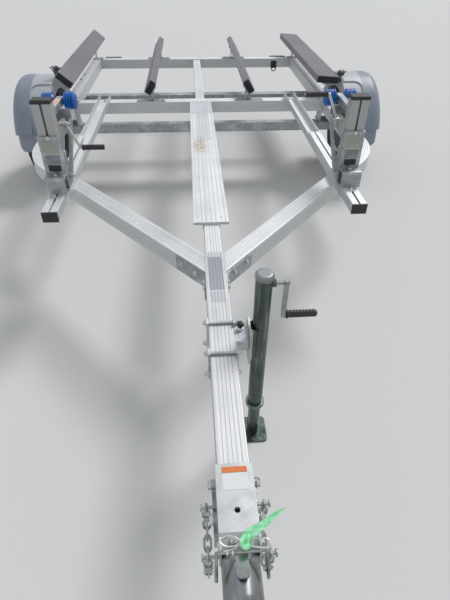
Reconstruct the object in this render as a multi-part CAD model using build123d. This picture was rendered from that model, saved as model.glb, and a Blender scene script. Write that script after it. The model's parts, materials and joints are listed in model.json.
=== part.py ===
from build123d import *
import os
from math import atan2, cos, degrees, radians, sin, sqrt, tan

os.makedirs("parts", exist_ok=True)

# A two-place boat trailer for small craft: a bent aluminium frame on one torsion axle.
# The coupler points to -Y, the rear to +Y, and the ground is z = 0.
# Stations are distances behind the nose of the coupler.

# Driving dimensions, millimetres
overall_length = 4690.0
overall_width = 2500.0
frame_top = 535.0
box_size = 76.2
box_wall = 4.0
spine_size = 63.5
rail_center = 911.9
arm_angle = 40.4
bend_radius = 462.0
arm_apex_station = 1072.0
tyre_radius = 305.0
tyre_width = 178.0
rim_radius = 165.0
axle_station = 3190.0
wheel_center_x = 1133.0
ball_diameter = 50.8

tongue_front_station = 150.0
tongue_rear_station = 1183.0
plank_front_station = 1397.0
plank_width = 148.0
plank_thickness = 12.0
front_cross_station = 3085.0
lower_cross_station = 3530.0
rear_cross_station = 4392.0
winch_front_station = 1436.0
post_station = 1690.0
jack_x = 122.0
jack_station = 750.0
jack_tube_radius = 25.4

half_box = box_size / 2
rail_z = frame_top - half_box
rail_bottom = frame_top - box_size
half_width = overall_width / 2


def sta(distance):
    """Y of a station behind the coupler's nose."""
    return distance - overall_length / 2


def save(shape, name):
    """One sub-part to its own file."""
    shape.label = name
    export_step(shape, "parts/" + name + ".step")
    print(name, "volume", round(shape.volume / 1000), "cm3")


def mirrored(shape):
    """The left-hand twin of a right-hand shape."""
    return mirror(shape, about=Plane.YZ)


def section_plane(start, direction, up=(0, 0, 1)):
    """A plane across a bar at its start, its local y upward."""
    along = Vector(*direction).normalized()
    sideways = Vector(*up).cross(along).normalized()
    return Plane(origin=start, x_dir=sideways, z_dir=along)


def box_section(width, height, wall, grooves_top=0, grooves_side=0, pitch=11.0):
    """A hollow extrusion with shallow grooves along its top and its sides."""
    face = fillet(Rectangle(width, height).vertices(), 2.5)
    for row in range(grooves_top):
        offset = (row - (grooves_top - 1) / 2) * pitch
        face -= Pos(offset, height / 2) * Rectangle(2.4, 2.0)
    for row in range(grooves_side):
        offset = (row - (grooves_side - 1) / 2) * pitch
        for side in (-1, 1):
            face -= Pos(side * width / 2, offset) * Rectangle(2.0, 2.4)
    face -= Rectangle(width - 2 * wall, height - 2 * wall)
    return face


def bar(section, start, end, up=(0, 0, 1)):
    """A section pushed from start to end."""
    direction = Vector(*end) - Vector(*start)
    plane = section_plane(start, (direction.X, direction.Y, direction.Z), up)
    return extrude(plane * section, amount=direction.length)


def block(x0, x1, y0, y1, z0, z1):
    """A block between two corners."""
    center = Pos((x0 + x1) / 2, (y0 + y1) / 2, (z0 + z1) / 2)
    return center * Box(abs(x1 - x0), abs(y1 - y0), abs(z1 - z0))


def rod(start, end, radius):
    """A round bar between two points."""
    direction = Vector(*end) - Vector(*start)
    plane = Plane(origin=start, z_dir=(direction.X, direction.Y, direction.Z))
    return extrude(plane * Circle(radius), amount=direction.length)


def pipe(start, end, radius, bore):
    """A round tube between two points."""
    return rod(start, end, radius) - rod(start, end, bore)


# Tongue: a deep-walled box that the spine slides into
def make_tongue():
    section = box_section(box_size, box_size, 6.1, grooves_top=5, grooves_side=3)
    tongue = bar(section, (0, sta(tongue_front_station), rail_z), (0, sta(tongue_rear_station), rail_z))
    hole_y = sta(195.0)
    tongue -= rod((0, hole_y, rail_z), (0, hole_y, frame_top + 5), 6.5)
    return tongue


def make_spine(start, end):
    section = box_section(spine_size, spine_size, 3.5, grooves_top=3)
    return bar(section, (0, sta(start), rail_z), (0, sta(end), rail_z))


def make_plank():
    y0 = sta(plank_front_station)
    y1 = sta(front_cross_station)
    spine_top = rail_z + spine_size / 2
    plank = block(-plank_width / 2, plank_width / 2, y0, y1, spine_top, spine_top + plank_thickness)
    for row in range(7):
        x = (row - 3) * 20.0
        plank -= block(x - 1.5, x + 1.5, y0, y1, spine_top + plank_thickness - 1.2, spine_top + 50)
    for side in (-1, 1):
        plank += block(side * (spine_size / 2 + 0.5), side * (spine_size / 2 + 4.5), y0, y1,
                       spine_top - 20, spine_top)
    return plank


# Main rails: one bent extrusion a side, from the tongue to the rear crossbeam
def make_rail():
    section = box_section(box_size, box_size, box_wall, grooves_top=5, grooves_side=3)
    angle = radians(arm_angle)
    arm_dir = Vector(sin(angle), cos(angle), 0)
    corner_y = sta(arm_apex_station) + rail_center / tan(angle)
    corner = Vector(rail_center, corner_y, rail_z)
    tangent = bend_radius * tan(angle / 2)
    bend_start = corner - arm_dir * tangent
    bend_end = corner + Vector(0, tangent, 0)
    arm_start = bend_start - arm_dir * 1500.0
    arm = bar(section, (arm_start.X, arm_start.Y, arm_start.Z), (bend_start.X, bend_start.Y, bend_start.Z))
    plane = section_plane((bend_start.X, bend_start.Y, bend_start.Z), (arm_dir.X, arm_dir.Y, 0))
    center = (rail_center - bend_radius, bend_end.Y, 0)
    bend = revolve(plane * section, axis=Axis(center, (0, 0, 1)), revolution_arc=arm_angle)
    run = bar(section, (bend_end.X, bend_end.Y, bend_end.Z), (bend_end.X, sta(rear_cross_station), rail_z))
    rail = arm + bend + run
    rail -= block(-3000, half_box, sta(-2000.0), sta(6000.0), 0, 2000)
    return rail


def make_tongue_bracket():
    """Bent plate that ties the front face of a rail to the side of the tongue, and half the plate below."""
    angle = radians(arm_angle)
    wall = 5.0
    across = Vector(cos(angle), -sin(angle), 0)
    along = Vector(sin(angle), cos(angle), 0)
    apex = Vector(0, sta(arm_apex_station), 0)
    inner = apex + across * half_box
    inner += along * ((half_box - inner.X) / along.X)
    outer = apex + across * (half_box + wall)
    outer += along * ((half_box + wall - outer.X) / along.X)
    tip = inner + along * 160.0
    points = [(half_box, inner.Y - 80), (half_box, inner.Y), (tip.X, tip.Y)]
    tip += across * wall
    points += [(tip.X, tip.Y), (half_box + wall, outer.Y), (half_box + wall, inner.Y - 80)]
    plate = Pos(0, 0, rail_z - 30) * extrude(make_face(Polyline(*points, close=True)), amount=60.0)
    far = half_box + wall
    plate += block(0, far, inner.Y - 60, inner.Y + 40, rail_bottom - 6, rail_bottom)
    return plate + block(half_box, far, inner.Y - 60, inner.Y, rail_bottom - 6, rail_z)


def make_cross(station, top, half_length, size=box_size, height=box_size, grooves=3):
    section = box_section(size, height, box_wall, grooves_top=0, grooves_side=grooves)
    y = sta(station) + size / 2
    z = top - height / 2
    return bar(section, (-half_length, y, z), (half_length, y, z))


rail_inner = rail_center - half_box
rail_outer = rail_center + half_box

# Torsion axle
axle_tube_station = 3140.0
axle_tube_z = frame_top - 190.0
axle_tube_size = 63.5
axle_tube_half = wheel_center_x - 118.0
spindle_z = tyre_radius


def make_axle():
    section = fillet(Rectangle(axle_tube_size, axle_tube_size).vertices(), 8.0)
    section -= fillet(Rectangle(axle_tube_size - 10, axle_tube_size - 10).vertices(), 4.0)
    y = sta(axle_tube_station)
    tube = bar(section, (-axle_tube_half, y, axle_tube_z), (axle_tube_half, y, axle_tube_z))
    return tube


def make_axle_hanger():
    """Block and plate that carry the axle tube under a rail."""
    y = sta(axle_tube_station)
    top = rail_bottom
    bottom = axle_tube_z + axle_tube_size / 2
    shape = block(rail_inner, rail_outer, y - 60, y + 60, bottom + 6, top)
    shape -= block(rail_inner + 6, rail_outer - 6, y - 70, y + 70, bottom + 12, top - 6)
    shape += block(rail_inner - 5, rail_outer + 5, y - 75, y + 75, bottom, bottom + 6)
    for side in (-1, 1):
        shape += block(rail_inner - 5, rail_outer + 5, y + side * 36, y + side * 42, bottom - 50, bottom + 2)
    return shape


def make_torsion_arm():
    """Trailing arm and stub axle outboard of the tube."""
    y0 = sta(axle_tube_station)
    y1 = sta(axle_station)
    x0 = axle_tube_half
    x1 = axle_tube_half + 18.0
    angle = atan2(spindle_z - axle_tube_z, y1 - y0)
    length = sqrt((y1 - y0) ** 2 + (spindle_z - axle_tube_z) ** 2)
    plate = SlotCenterToCenter(length, 60.0)
    plane = Plane(origin=(x0, (y0 + y1) / 2, (axle_tube_z + spindle_z) / 2),
                  x_dir=(0, cos(angle), sin(angle)), z_dir=(1, 0, 0))
    arm = extrude(plane * plate, amount=x1 - x0)
    stub = rod((x1, y1, spindle_z), (wheel_center_x + 30.0, y1, spindle_z), spindle_radius)
    return arm + stub


# Wheels
def wheel_place(x):
    return Pos(x, sta(axle_station), spindle_z) * Rot(0, 90, 0)


def ring_of(profile_points):
    """A ring about Z from an outline in the (radius, height) plane."""
    outline = Polyline(*[(r, h) for r, h in profile_points], close=True)
    face = Plane.XZ * make_face(outline)
    return revolve(face, axis=Axis.Z)


def make_tyre():
    """Tyre about Z, open to the rim: straight beads, bulged walls, rounded shoulders."""
    half = tyre_width / 2
    bead = 64.0
    bead_top = rim_radius + 18.0
    shoulder = tyre_radius - 24.0
    crown_half = half - 24.0
    upper = [(rim_radius, bead), (bead_top, bead), (bead_top + 6, bead + 10), (rim_radius + 68, half),
             (shoulder, half - 7), (tyre_radius - 8, half - 13), (tyre_radius, crown_half)]
    lower = [(radius, -height) for radius, height in reversed(upper)]
    inside = [(tyre_radius - 16, 36 - half), (tyre_radius - 16, half - 36)]
    return ring_of(upper + lower + inside)


stud_circle = 57.15
stud_count = 5
spindle_radius = 12.7
hub_bore = 12.75


def make_rim():
    """Pressed steel wheel about Z, its disc toward +Z, with round vents, on its hub."""
    lip = rim_radius + 14.0
    well = rim_radius - 4.0
    outline = [(lip, 72), (lip, 64), (rim_radius, 64), (rim_radius, -64), (lip, -64), (lip, -72),
               (well, -64), (well, 64)]
    disc_outline = [(28, 21), (28, 15), (78, 15), (118, 34), (well, 10), (well, 15), (118, 40), (76, 21)]
    disc = ring_of(disc_outline)
    for index in range(8):
        disc -= Rot(0, 0, index * 45.0) * Pos(137, 0, 25) * Cylinder(8.0, 60)
    hub = ring_of([(hub_bore, -34), (30, -34), (32, 44), (28, 56), (hub_bore, 56)])
    cap = Pos(0, 0, 59) * Cylinder(24, 6)
    wheel = ring_of(outline) + disc + hub + cap
    for index in range(stud_count):
        place = Rot(0, 0, index * 360.0 / stud_count) * Pos(stud_circle, 0, 0)
        wheel += place * Pos(0, 0, 27) * Cylinder(6.3, 20)
    return wheel


# Fenders: moulded shells about the wheel's axis, with a recessed panel before and behind a raised step
fender_radius = 385.0
fender_inner_x = 992.0
fender_wall = 5.0
fender_depth = 90.0
fender_shoulder = 68.0
fender_crease_angle = 16.0
fender_skirt_inset = 12.0
panel_depth = 9.0
panel_width = 128.0
panel_corner = 55.0
step_half_angle = 20.0
fender_center = Vector(0, sta(axle_station), tyre_radius)


def swept_round(face, first, last):
    """A face in the XZ plane of the axle, turned about the axle between two angles from the top."""
    plane = Plane(origin=fender_center, x_dir=(1, 0, 0), z_dir=(0, -1, 0))
    axis = Axis(fender_center, (1, 0, 0))
    return revolve(plane * face, axis=axis, revolution_arc=last - first).rotate(axis, first)


def shoulder_face(x0, x1, low, top, inner_round, outer_round):
    """The fender's section: radius up, a tight inner edge and a wide outer shoulder."""
    bow = 1 - sqrt(0.5)
    inner_mid = (x0 + bow * inner_round, top - bow * inner_round)
    outer_mid = (x1 - bow * outer_round, top - bow * outer_round)
    edges = [
        Line((x0, low), (x0, top - inner_round)),
        ThreePointArc((x0, top - inner_round), inner_mid, (x0 + inner_round, top)),
        Line((x0 + inner_round, top), (x1 - outer_round, top)),
        ThreePointArc((x1 - outer_round, top), outer_mid, (x1, top - outer_round)),
        Line((x1, top - outer_round), (x1, low)),
        Line((x1, low), (x0, low)),
    ]
    return make_face(edges)


def panel_tool(inset, side):
    """What the recessed panel takes off the form: a band whose upper outboard corner is round."""
    top = fender_radius - panel_depth - inset
    outboard = fender_inner_x + panel_width + inset
    start = step_half_angle - degrees(inset / fender_radius)
    band = make_face(Polyline((fender_inner_x - 20, top), (outboard, top), (outboard, top + 40),
                              (fender_inner_x - 20, top + 40), close=True))
    tool = swept_round(band, start, 100.0) if side > 0 else swept_round(band, -100.0, -start)
    turn = start + degrees(panel_corner / fender_radius)
    about = Axis(fender_center, (1, 0, 0))
    middle = Pos(outboard - panel_corner, fender_center.Y, fender_center.Z + top + 10)
    corner = middle * Pos(panel_corner, side * panel_corner, 0) * Box(2 * panel_corner, 2 * panel_corner, 90)
    corner -= middle * Cylinder(panel_corner, 100)
    return tool - corner.rotate(about, side * turn)


def fender_form(inset, low, skirt_end):
    """The solid inside a skin set in from the fender's outside."""
    reach = 90.0 - fender_crease_angle - degrees(inset / fender_radius)
    x0 = fender_inner_x + inset
    x1 = half_width - inset
    top = fender_radius - inset
    outer_round = fender_shoulder - inset
    form = swept_round(shoulder_face(x0, x1, low, top, 12.0, outer_round), -reach, reach)
    for side in (-1, 1):
        form -= panel_tool(inset, side)
    drop = fender_skirt_inset
    skirt = shoulder_face(x0, x1 - drop, low, top - drop, 12.0, outer_round)
    return form + swept_round(skirt, -skirt_end, skirt_end)


def make_fender():
    """Hollow shell whose skirts end level with the axle, their outer lower corners rounded off."""
    edge = fender_radius - fender_depth
    shell = fender_form(0.0, edge, 91.0) - fender_form(fender_wall, edge - 40.0, 100.0)
    low = tyre_radius - 10.0
    round_off = 60.0
    x = half_width - round_off - fender_skirt_inset
    corner = block(x, half_width + 20, -3000, 3000, low - 20, low + round_off)
    corner -= Pos(x, 0, low + round_off) * Rot(90, 0, 0) * Cylinder(round_off, 6200)
    return shell - corner


def make_fender_bracket():
    """Two struts from the frame to the fender's inner wall, front and rear."""
    shape = None
    for y in (sta(axle_station) - 235.0, sta(axle_station) + 235.0):
        leg = block(rail_outer, fender_inner_x, y - 20, y + 20, rail_z - 20, rail_z + 20)
        shape = leg if shape is None else shape + leg
    return shape


# Bunks: carpeted boards, the outer ones flat or canted, the inner ones on edge
bunk_rear_station = overall_length
outer_bunk_station = 3100.0
inner_bunk_station = 3120.0
outer_bunk_width = 160.0
inner_bunk_width = 97.0
bunk_thickness = 48.0
outer_bunk_x = 900.0
outer_bunk_z = frame_top + 130.0
inner_bunk_x = 345.0
inner_bunk_z = frame_top + 85.0
# node, x, z, width, tilt about Y in degrees, front station
bunk_table = [
    ("bunk_outer_left", -outer_bunk_x, outer_bunk_z, outer_bunk_width, 40.0, outer_bunk_station),
    ("bunk_inner_left", -inner_bunk_x, inner_bunk_z, inner_bunk_width, -57.0, inner_bunk_station),
    ("bunk_inner_right", inner_bunk_x, inner_bunk_z, inner_bunk_width, 57.0, inner_bunk_station),
    ("bunk_outer_right", outer_bunk_x, outer_bunk_z, outer_bunk_width, 4.0, outer_bunk_station),
]


def make_bunk(x, z, width, tilt, front_station):
    section = fillet(Rectangle(width, bunk_thickness).vertices(), 8.0)
    board = bar(section, (0, sta(front_station), 0), (0, sta(bunk_rear_station), 0))
    return Pos(x, 0, z) * Rot(0, tilt, 0) * board


def make_bunk_bracket(x, z, tilt, station, foot_half):
    """Foot on a crossbeam, a post plate and a tilted seat under the board."""
    y0 = sta(station) + 8.0
    y1 = y0 + 60.0
    foot = block(x - foot_half, x + foot_half, y0, y1, frame_top, frame_top + 5)
    seat = Rot(0, tilt, 0) * Pos(0, 0, -bunk_thickness / 2 - 2.5) * Box(70.0, 60.0, 5.0)
    seat = Pos(x, (y0 + y1) / 2, z) * seat
    seat_x = x - sin(radians(tilt)) * (bunk_thickness / 2 + 2.5)
    seat_z = z - cos(radians(tilt)) * (bunk_thickness / 2 + 2.5)
    stem = block(seat_x - 2.5, seat_x + 2.5, y0, y1, frame_top + 2, seat_z)
    return foot + seat + stem


# Winch stands: a slotted beam in an open channel, a slotted post, a winch and bow rollers
channel_wall = 3.0
channel_width = 72.0
channel_height = 40.0
beam_width = channel_width - 2 * channel_wall - 1.0
beam_height = 44.0
beam_rear_station = 2320.0
channel_front_station = 1612.0
slot_mouth = 9.0
slot_cell = 22.0


def slotted_section(width, height, wall):
    """A hollow extrusion with a nut slot along the middle of its upper side."""
    face = fillet(Rectangle(width, height).vertices(), 2.0)
    cell_depth = 10.0
    hollow = Rectangle(width - 2 * wall, height - 2 * wall)
    hollow -= Pos(0, height / 2) * Rectangle(slot_cell + 7.0, 2 * (wall + cell_depth + 3.5))
    face -= hollow
    face -= Pos(0, height / 2) * Rectangle(slot_mouth, 2 * wall + 1.0)
    return face - Pos(0, height / 2 - wall - cell_depth / 2) * Rectangle(slot_cell, cell_depth)


def make_channel(x):
    """Open channel from the front crossbeam forward over the rail's bend, its front ends cut to a point."""
    half = channel_width / 2
    profile = Polyline((-half, 0), (half, 0), (half, channel_height), (half - channel_wall, channel_height),
                       (half - channel_wall, channel_wall), (channel_wall - half, channel_wall),
                       (channel_wall - half, channel_height), (-half, channel_height), close=True)
    start = (x, sta(channel_front_station), frame_top)
    channel = bar(make_face(profile), start, (x, sta(front_cross_station) + 60.0, frame_top))
    front = sta(channel_front_station)
    wedge = make_face(Polyline((front - 1, channel_wall), (front + 110, channel_height + 1),
                               (front - 1, channel_height + 1), close=True))
    side_view = Plane(origin=(x - half - 1, 0, frame_top), x_dir=(0, 1, 0), z_dir=(1, 0, 0))
    return channel - extrude(side_view * wedge, amount=channel_width + 2)


beam_z = frame_top + channel_wall + beam_height / 2
beam_top = frame_top + channel_wall + beam_height


def make_base_beam(x):
    """Slotted beam in the channel that carries the winch post."""
    section = slotted_section(beam_width, beam_height, 3.5)
    return bar(section, (x, sta(winch_front_station + 8.0), beam_z), (x, sta(beam_rear_station), beam_z))


def make_beam_cap(x):
    y = sta(winch_front_station)
    half = beam_width / 2
    return block(x - half, x + half, y, y + 8.0, beam_z - beam_height / 2, beam_top)


post_height = 353.0
post_depth = 50.8
post_cap_height = 15.0
foot_wall = 5.0
foot_height = 232.0
foot_step_height = 71.0
foot_front_station = 1600.0
post_bottom = beam_top + foot_wall
post_top = post_bottom + post_height
post_y = sta(post_station)
post_front = post_y - post_depth / 2
post_back = post_y + post_depth / 2
foot_half = box_size / 2 + foot_wall + 1.0


def make_post_foot(x):
    """Folded bracket that clamps the post to its beam: a rounded step in front, a web and two cheeks."""
    front = sta(foot_front_station)
    step_top = beam_top + foot_step_height
    side_view = Plane(origin=(x - foot_half, 0, 0), x_dir=(0, 1, 0), z_dir=(1, 0, 0))
    outer = make_face(Polyline((front, beam_top), (post_front, beam_top), (post_front, step_top),
                               (front, step_top), close=True))
    low, high = beam_top + foot_wall, step_top - foot_wall
    near, far = front + foot_wall, post_front - foot_wall
    inner = make_face(Polyline((near, low), (far, low), (far, high), (near, high), close=True))
    outer = fillet([v for v in outer.vertices() if v.X < front + 1 and v.Y > beam_top + 1], 16.0)
    inner = fillet([v for v in inner.vertices() if v.X < near + 1 and v.Y > high - 1], 11.0)
    shape = extrude(side_view * (outer - inner), amount=2 * foot_half)
    foot_rear = post_back + 25
    shape += block(x - foot_half, x + foot_half, post_front - foot_wall, foot_rear, beam_top, post_bottom)
    foot_top = beam_top + foot_height
    web = block(x - foot_half, x + foot_half, post_front - foot_wall, post_front, beam_top, foot_top)
    web += block(x - foot_half, x + foot_half, post_front - 9, post_front - foot_wall + 1,
                 foot_top - 14, foot_top)
    web -= block(x - 22, x + 22, post_front - 20, post_front + 1, step_top + 8, step_top + 36)
    shape += web
    cheek = make_face(Polyline((post_front - 1, beam_top), (foot_rear, beam_top), (foot_rear, beam_top + 50),
                               (post_front + 34, foot_top), (post_front - 1, foot_top), close=True))
    cheek = fillet([v for v in cheek.vertices() if v.X > post_front and v.Y > beam_top + 10], 14.0)
    for start in (x - foot_half, x + foot_half - foot_wall):
        view = Plane(origin=(start, 0, 0), x_dir=(0, 1, 0), z_dir=(1, 0, 0))
        shape += extrude(view * cheek, amount=foot_wall)
    return shape


def make_post(x):
    section = Rot(0, 0, 180) * slotted_section(box_size, post_depth, 4.5)
    return Pos(x, post_y, post_bottom) * extrude(section, amount=post_height)


def make_post_cap(x):
    half = box_size / 2 + 1.5
    reach = post_depth / 2 + 1.5
    cap = block(x - half, x + half, post_y - reach, post_y + reach, post_top, post_top + post_cap_height)
    return fillet(cap.edges().group_by(Axis.Z)[-1], 4.0)


bow_z = frame_top + 335.0
bow_y = sta(1955.0)
bow_arm_size = 30.0
bow_axle_radius = 6.0
bow_bore = 6.05
roller_inner = 20.5
roller_outer = 77.0
roller_radius = 37.0
brace_top = (1883.0, 275.0)
brace_bottom = (1700.0, 84.0)


def make_bow_arm(x, inward):
    """Arm from the post to the bow rollers with their axle, and the brace down to the foot."""
    half = bow_arm_size / 2
    section = fillet(Rectangle(bow_arm_size, bow_arm_size).vertices(), 3.0)
    section -= Rectangle(bow_arm_size - 6.0, bow_arm_size - 6.0)
    arm = bar(section, (x, post_back + 4, bow_z), (x, bow_y + 22.0, bow_z))
    arm += block(x - 34, x + 34, post_back, post_back + 5, bow_z - 20, bow_z + 30)
    arm += rod((x - roller_outer - 6, bow_y, bow_z), (x + roller_outer + 6, bow_y, bow_z), bow_axle_radius)
    top_y, top_z = sta(brace_top[0]), frame_top + brace_top[1]
    near = foot_half + 0.1
    far = near + 12.0
    arm += block(x - inward * half, x + inward * far, top_y, top_y + 6, top_z - 15, bow_z - half + 2)
    start = (x + inward * (near + far) / 2, sta(brace_bottom[0]), frame_top + brace_bottom[1])
    arm += bar(Rectangle(12.0, 26.0), start, (start[0], top_y + 3, top_z))
    return arm


def make_bow_roller(x, side):
    """One soft ribbed roller on the bow axle."""
    ridge = roller_radius
    groove = roller_radius - 4.0
    outline = [(bow_bore, roller_inner), (24, roller_inner), (groove - 3, roller_inner + 8)]
    for start in (29.0, 41.0, 53.0, 65.0):
        outline += [(ridge, start - 2), (ridge, start + 4), (groove, start + 6)]
    outline = outline[:-1] + [(26, roller_outer), (bow_bore, roller_outer)]
    return Pos(x, bow_y, bow_z) * Rot(0, 90 * side, 0) * ring_of(outline)


# Winch: the pinion on the crank's shaft drives the big gear beside the spool
winch_z = frame_top + 268.0
winch_y = sta(1830.0)
pinion_y = winch_y - 44.0
pinion_z = winch_z + 20.0
gear_teeth = 38
pinion_teeth = 12
gear_distance = sqrt((winch_y - pinion_y) ** 2 + (winch_z - pinion_z) ** 2)
gear_radius = gear_distance * gear_teeth / (gear_teeth + pinion_teeth)
pinion_radius = gear_distance - gear_radius
mesh_angle = degrees(atan2(pinion_z - winch_z, pinion_y - winch_y))
drum_shaft = 9.0
crank_shaft = 7.0
shaft_gap = 0.05
cheek_inner = 30.0
cheek_outer = 34.0
crank_length = 105.0
crank_flare = 46.0
crank_hub = 50.0
grip_length = 108.0
# side, x, inward direction, turn of the crank from hanging straight down
stand_table = [
    ("left", -664.0, 1, 0.0),
    ("right", 638.0, -1, 168.0),
]


def toothed(teeth, radius, phase):
    """Outline of a spur gear: straight-sided teeth on a pitch circle."""
    step = 360.0 / teeth
    points = []
    for index in range(teeth):
        middle = phase + index * step
        for offset, level in ((-0.31, -2.2), (-0.12, 1.6), (0.12, 1.6), (0.31, -2.2)):
            angle = radians(middle + offset * step)
            points.append(((radius + level) * cos(angle), (radius + level) * sin(angle)))
    return make_face(Polyline(*points, close=True))


def wheel_at(x, y, z, inward, face, near, far):
    """A flat outline in the plane across the shaft, between two distances inward of the stand's middle."""
    start = x + min(inward * near, inward * far)
    plane = Plane(origin=(start, y, z), x_dir=(0, 1, 0), z_dir=(1, 0, 0))
    return extrude(plane * face, amount=far - near)


def make_winch_frame(x):
    """Folded plate frame of the hand winch on the back of the post."""
    shape = block(x - cheek_outer, x + cheek_outer, post_back, post_back + 4, winch_z - 60, winch_z + 38)
    rear = winch_y + 26
    outline = Polyline((post_back, winch_z - 52), (winch_y - 20, winch_z - 30), (rear, winch_z - 26),
                       (rear, winch_z + 26), (pinion_y, winch_z + 38), (post_back, winch_z + 38), close=True)
    face = make_face(outline)
    face = fillet([v for v in face.vertices() if v.X > post_back + 2], 12.0)
    for start in (-cheek_outer, cheek_inner):
        view = Plane(origin=(x + start, 0, 0), x_dir=(0, 1, 0), z_dir=(1, 0, 0))
        cheek = extrude(view * face, amount=cheek_outer - cheek_inner)
        for y, z, radius in ((winch_y, winch_z, drum_shaft), (pinion_y, pinion_z, crank_shaft)):
            cheek -= rod((x + start - 5, y, z), (x + start + 15, y, z), radius + shaft_gap)
        shape += cheek
    return shape


def make_winch_drum(x, inward):
    """Shaft with its spool cheeks and the big gear."""
    shape = rod((x - 40, winch_y, winch_z), (x + 40, winch_y, winch_z), drum_shaft)
    for near, far in ((-25, -22), (6, 9)):
        shape += wheel_at(x, winch_y, winch_z, inward, Circle(33.0), near, far)
    gear = toothed(gear_teeth, gear_radius, mesh_angle)
    for index in range(6):
        gear -= Rot(0, 0, index * 60.0) * Pos(22.0, 0) * Circle(5.5)
    return shape + wheel_at(x, winch_y, winch_z, inward, gear, 13, 20)


def make_winch_strap(x, inward):
    """Webbing wound on the spool."""
    face = Circle(27.0) - Circle(drum_shaft + shaft_gap)
    return wheel_at(x, winch_y, winch_z, inward, face, -22, 6)


def turned_crank(shape, x, turn):
    return Pos(x, pinion_y, pinion_z) * Rot(turn, 0, 0) * shape


def make_winch_crank(x, inward, turn):
    """Pinion shaft with its flared arm and the pin of the grip."""
    far = x + inward * (crank_hub + 6)
    shape = rod((x - inward * 40, pinion_y, pinion_z), (far, pinion_y, pinion_z), crank_shaft)
    phase = mesh_angle + 180.0 * (1 + 1 / pinion_teeth)
    shape += wheel_at(x, pinion_y, pinion_z, inward, toothed(pinion_teeth, pinion_radius, phase), 12, 21)
    reach = inward * (crank_hub + crank_flare)
    arm = rod((inward * (crank_hub - 6), 0, 0), (inward * (crank_hub + 9), 0, 0), 11.0)
    arm += rod((inward * crank_hub, 0, 0), (reach, 0, -crank_length), 6.0)
    arm += rod((reach - inward * 6, 0, -crank_length), (reach + inward * grip_length, 0, -crank_length), 6.0)
    return shape + turned_crank(arm, x, turn)


def make_winch_grip(x, inward, turn):
    start = inward * (crank_hub + crank_flare + 6)
    end = inward * (crank_hub + crank_flare + grip_length - 2)
    grip = rod((start, 0, -crank_length), (end, 0, -crank_length), 12.0)
    grip -= rod((start - inward, 0, -crank_length), (end + inward, 0, -crank_length), 6.0 + shaft_gap)
    return turned_crank(grip, x, turn)


# Jack beside the tongue: it swings forward to stow and screws down to lift
jack_y = sta(jack_station)
jack_top = frame_top + 215.0
jack_tube_bottom = frame_top - 365.0
jack_bore = 21.6
jack_leg_radius = 21.5
jack_cap_radius = 28.5
jack_cap_height = 18.0
jack_crank_z = jack_top - 38.0
jack_crank_length = 120.0
crank_pin = 6.0
jack_pivot_x = 82.0
jack_pivot_z = rail_z
jack_bolt_stations = (650.0, 780.0)


def make_jack_tube():
    """Outer tube with its domed cap, its crank boss, its foot collar and the swivel plate."""
    foot = (jack_x, jack_y, jack_tube_bottom)
    tube = pipe(foot, (jack_x, jack_y, jack_top - 12), jack_tube_radius, jack_bore)
    cap = Pos(jack_x, jack_y, jack_top - jack_cap_height / 2) * Cylinder(jack_cap_radius, jack_cap_height)
    tube += fillet(cap.edges().group_by(Axis.Z)[-1], 10.0)
    side = jack_x + jack_tube_radius
    tube += rod((side - 6, jack_y, jack_crank_z), (side + 9, jack_y, jack_crank_z), 12.0)
    tube -= rod((jack_x, jack_y, jack_crank_z), (side + 20, jack_y, jack_crank_z), crank_pin + shaft_gap)
    tube += pipe(foot, (jack_x, jack_y, jack_tube_bottom + 16), 33.0, jack_bore)
    x0 = jack_pivot_x + 2
    plate = block(x0, x0 + 6, jack_y - 45, jack_y + 45, jack_pivot_z - 75, jack_pivot_z + 60)
    plate = fillet(plate.edges().filter_by(Axis.X), 12.0)
    neck = block(x0, jack_x, jack_y - 26, jack_y + 26, jack_pivot_z - 70, jack_pivot_z + 55)
    neck -= block(x0 + 6, jack_x, jack_y - 20, jack_y + 20, jack_pivot_z - 80, jack_pivot_z + 80)
    neck -= rod((jack_x, jack_y, 0), (jack_x, jack_y, 1200), jack_bore)
    return tube + plate + neck


def make_jack_mount():
    """Side plate with the swivel drum, bolted over and under the tongue to straps on the far side."""
    x0 = half_box
    x1 = half_box + 6
    shape = block(x0, x1, jack_y - 115, jack_y + 50, jack_pivot_z - 36, jack_pivot_z + 36)
    shape += rod((x1, jack_y, jack_pivot_z), (jack_pivot_x + 1.9, jack_y, jack_pivot_z), 36.0)
    shape += block(x1, jack_pivot_x - 4, jack_y - 50, jack_y + 42, jack_pivot_z + 32, jack_pivot_z + 36)
    for station in jack_bolt_stations:
        y = sta(station)
        low, high = rail_bottom - 15, frame_top + 15
        shape += block(x0, x1, y - 14, y + 14, low, high)
        shape += block(-x1, -x0, y - 14, y + 14, low, high)
        for z in (low + 9, high - 9):
            shape += rod((-x1 - 12, y, z), (x1 + 12, y, z), 5.0)
    return shape


def make_jack_leg():
    """Inner tube with the foot plate on the ground."""
    leg = pipe((jack_x, jack_y, 6), (jack_x, jack_y, jack_top - 60), jack_leg_radius, 17.5)
    foot = Pos(jack_x, jack_y, 3) * Box(100.0, 110.0, 6.0)
    return leg + fillet(foot.edges().filter_by(Axis.Z), 14.0)


def make_jack_crank():
    """Side shaft with its arm and grip pin."""
    x0 = jack_x + jack_tube_radius
    low = jack_crank_z - jack_crank_length
    shape = rod((x0 - 4, jack_y, jack_crank_z), (x0 + 44, jack_y, jack_crank_z), crank_pin)
    shape += block(x0 + 34, x0 + 46, jack_y - 8, jack_y + 8, low - 8, jack_crank_z + 8)
    shape += rod((x0 + 40, jack_y, low), (x0 + 142, jack_y, low), crank_pin)
    return shape


def make_jack_grip():
    x0 = jack_x + jack_tube_radius + 47
    z = jack_crank_z - jack_crank_length
    return pipe((x0, jack_y, z), (x0 + 94, jack_y, z), 11.5, crank_pin + shaft_gap)


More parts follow.
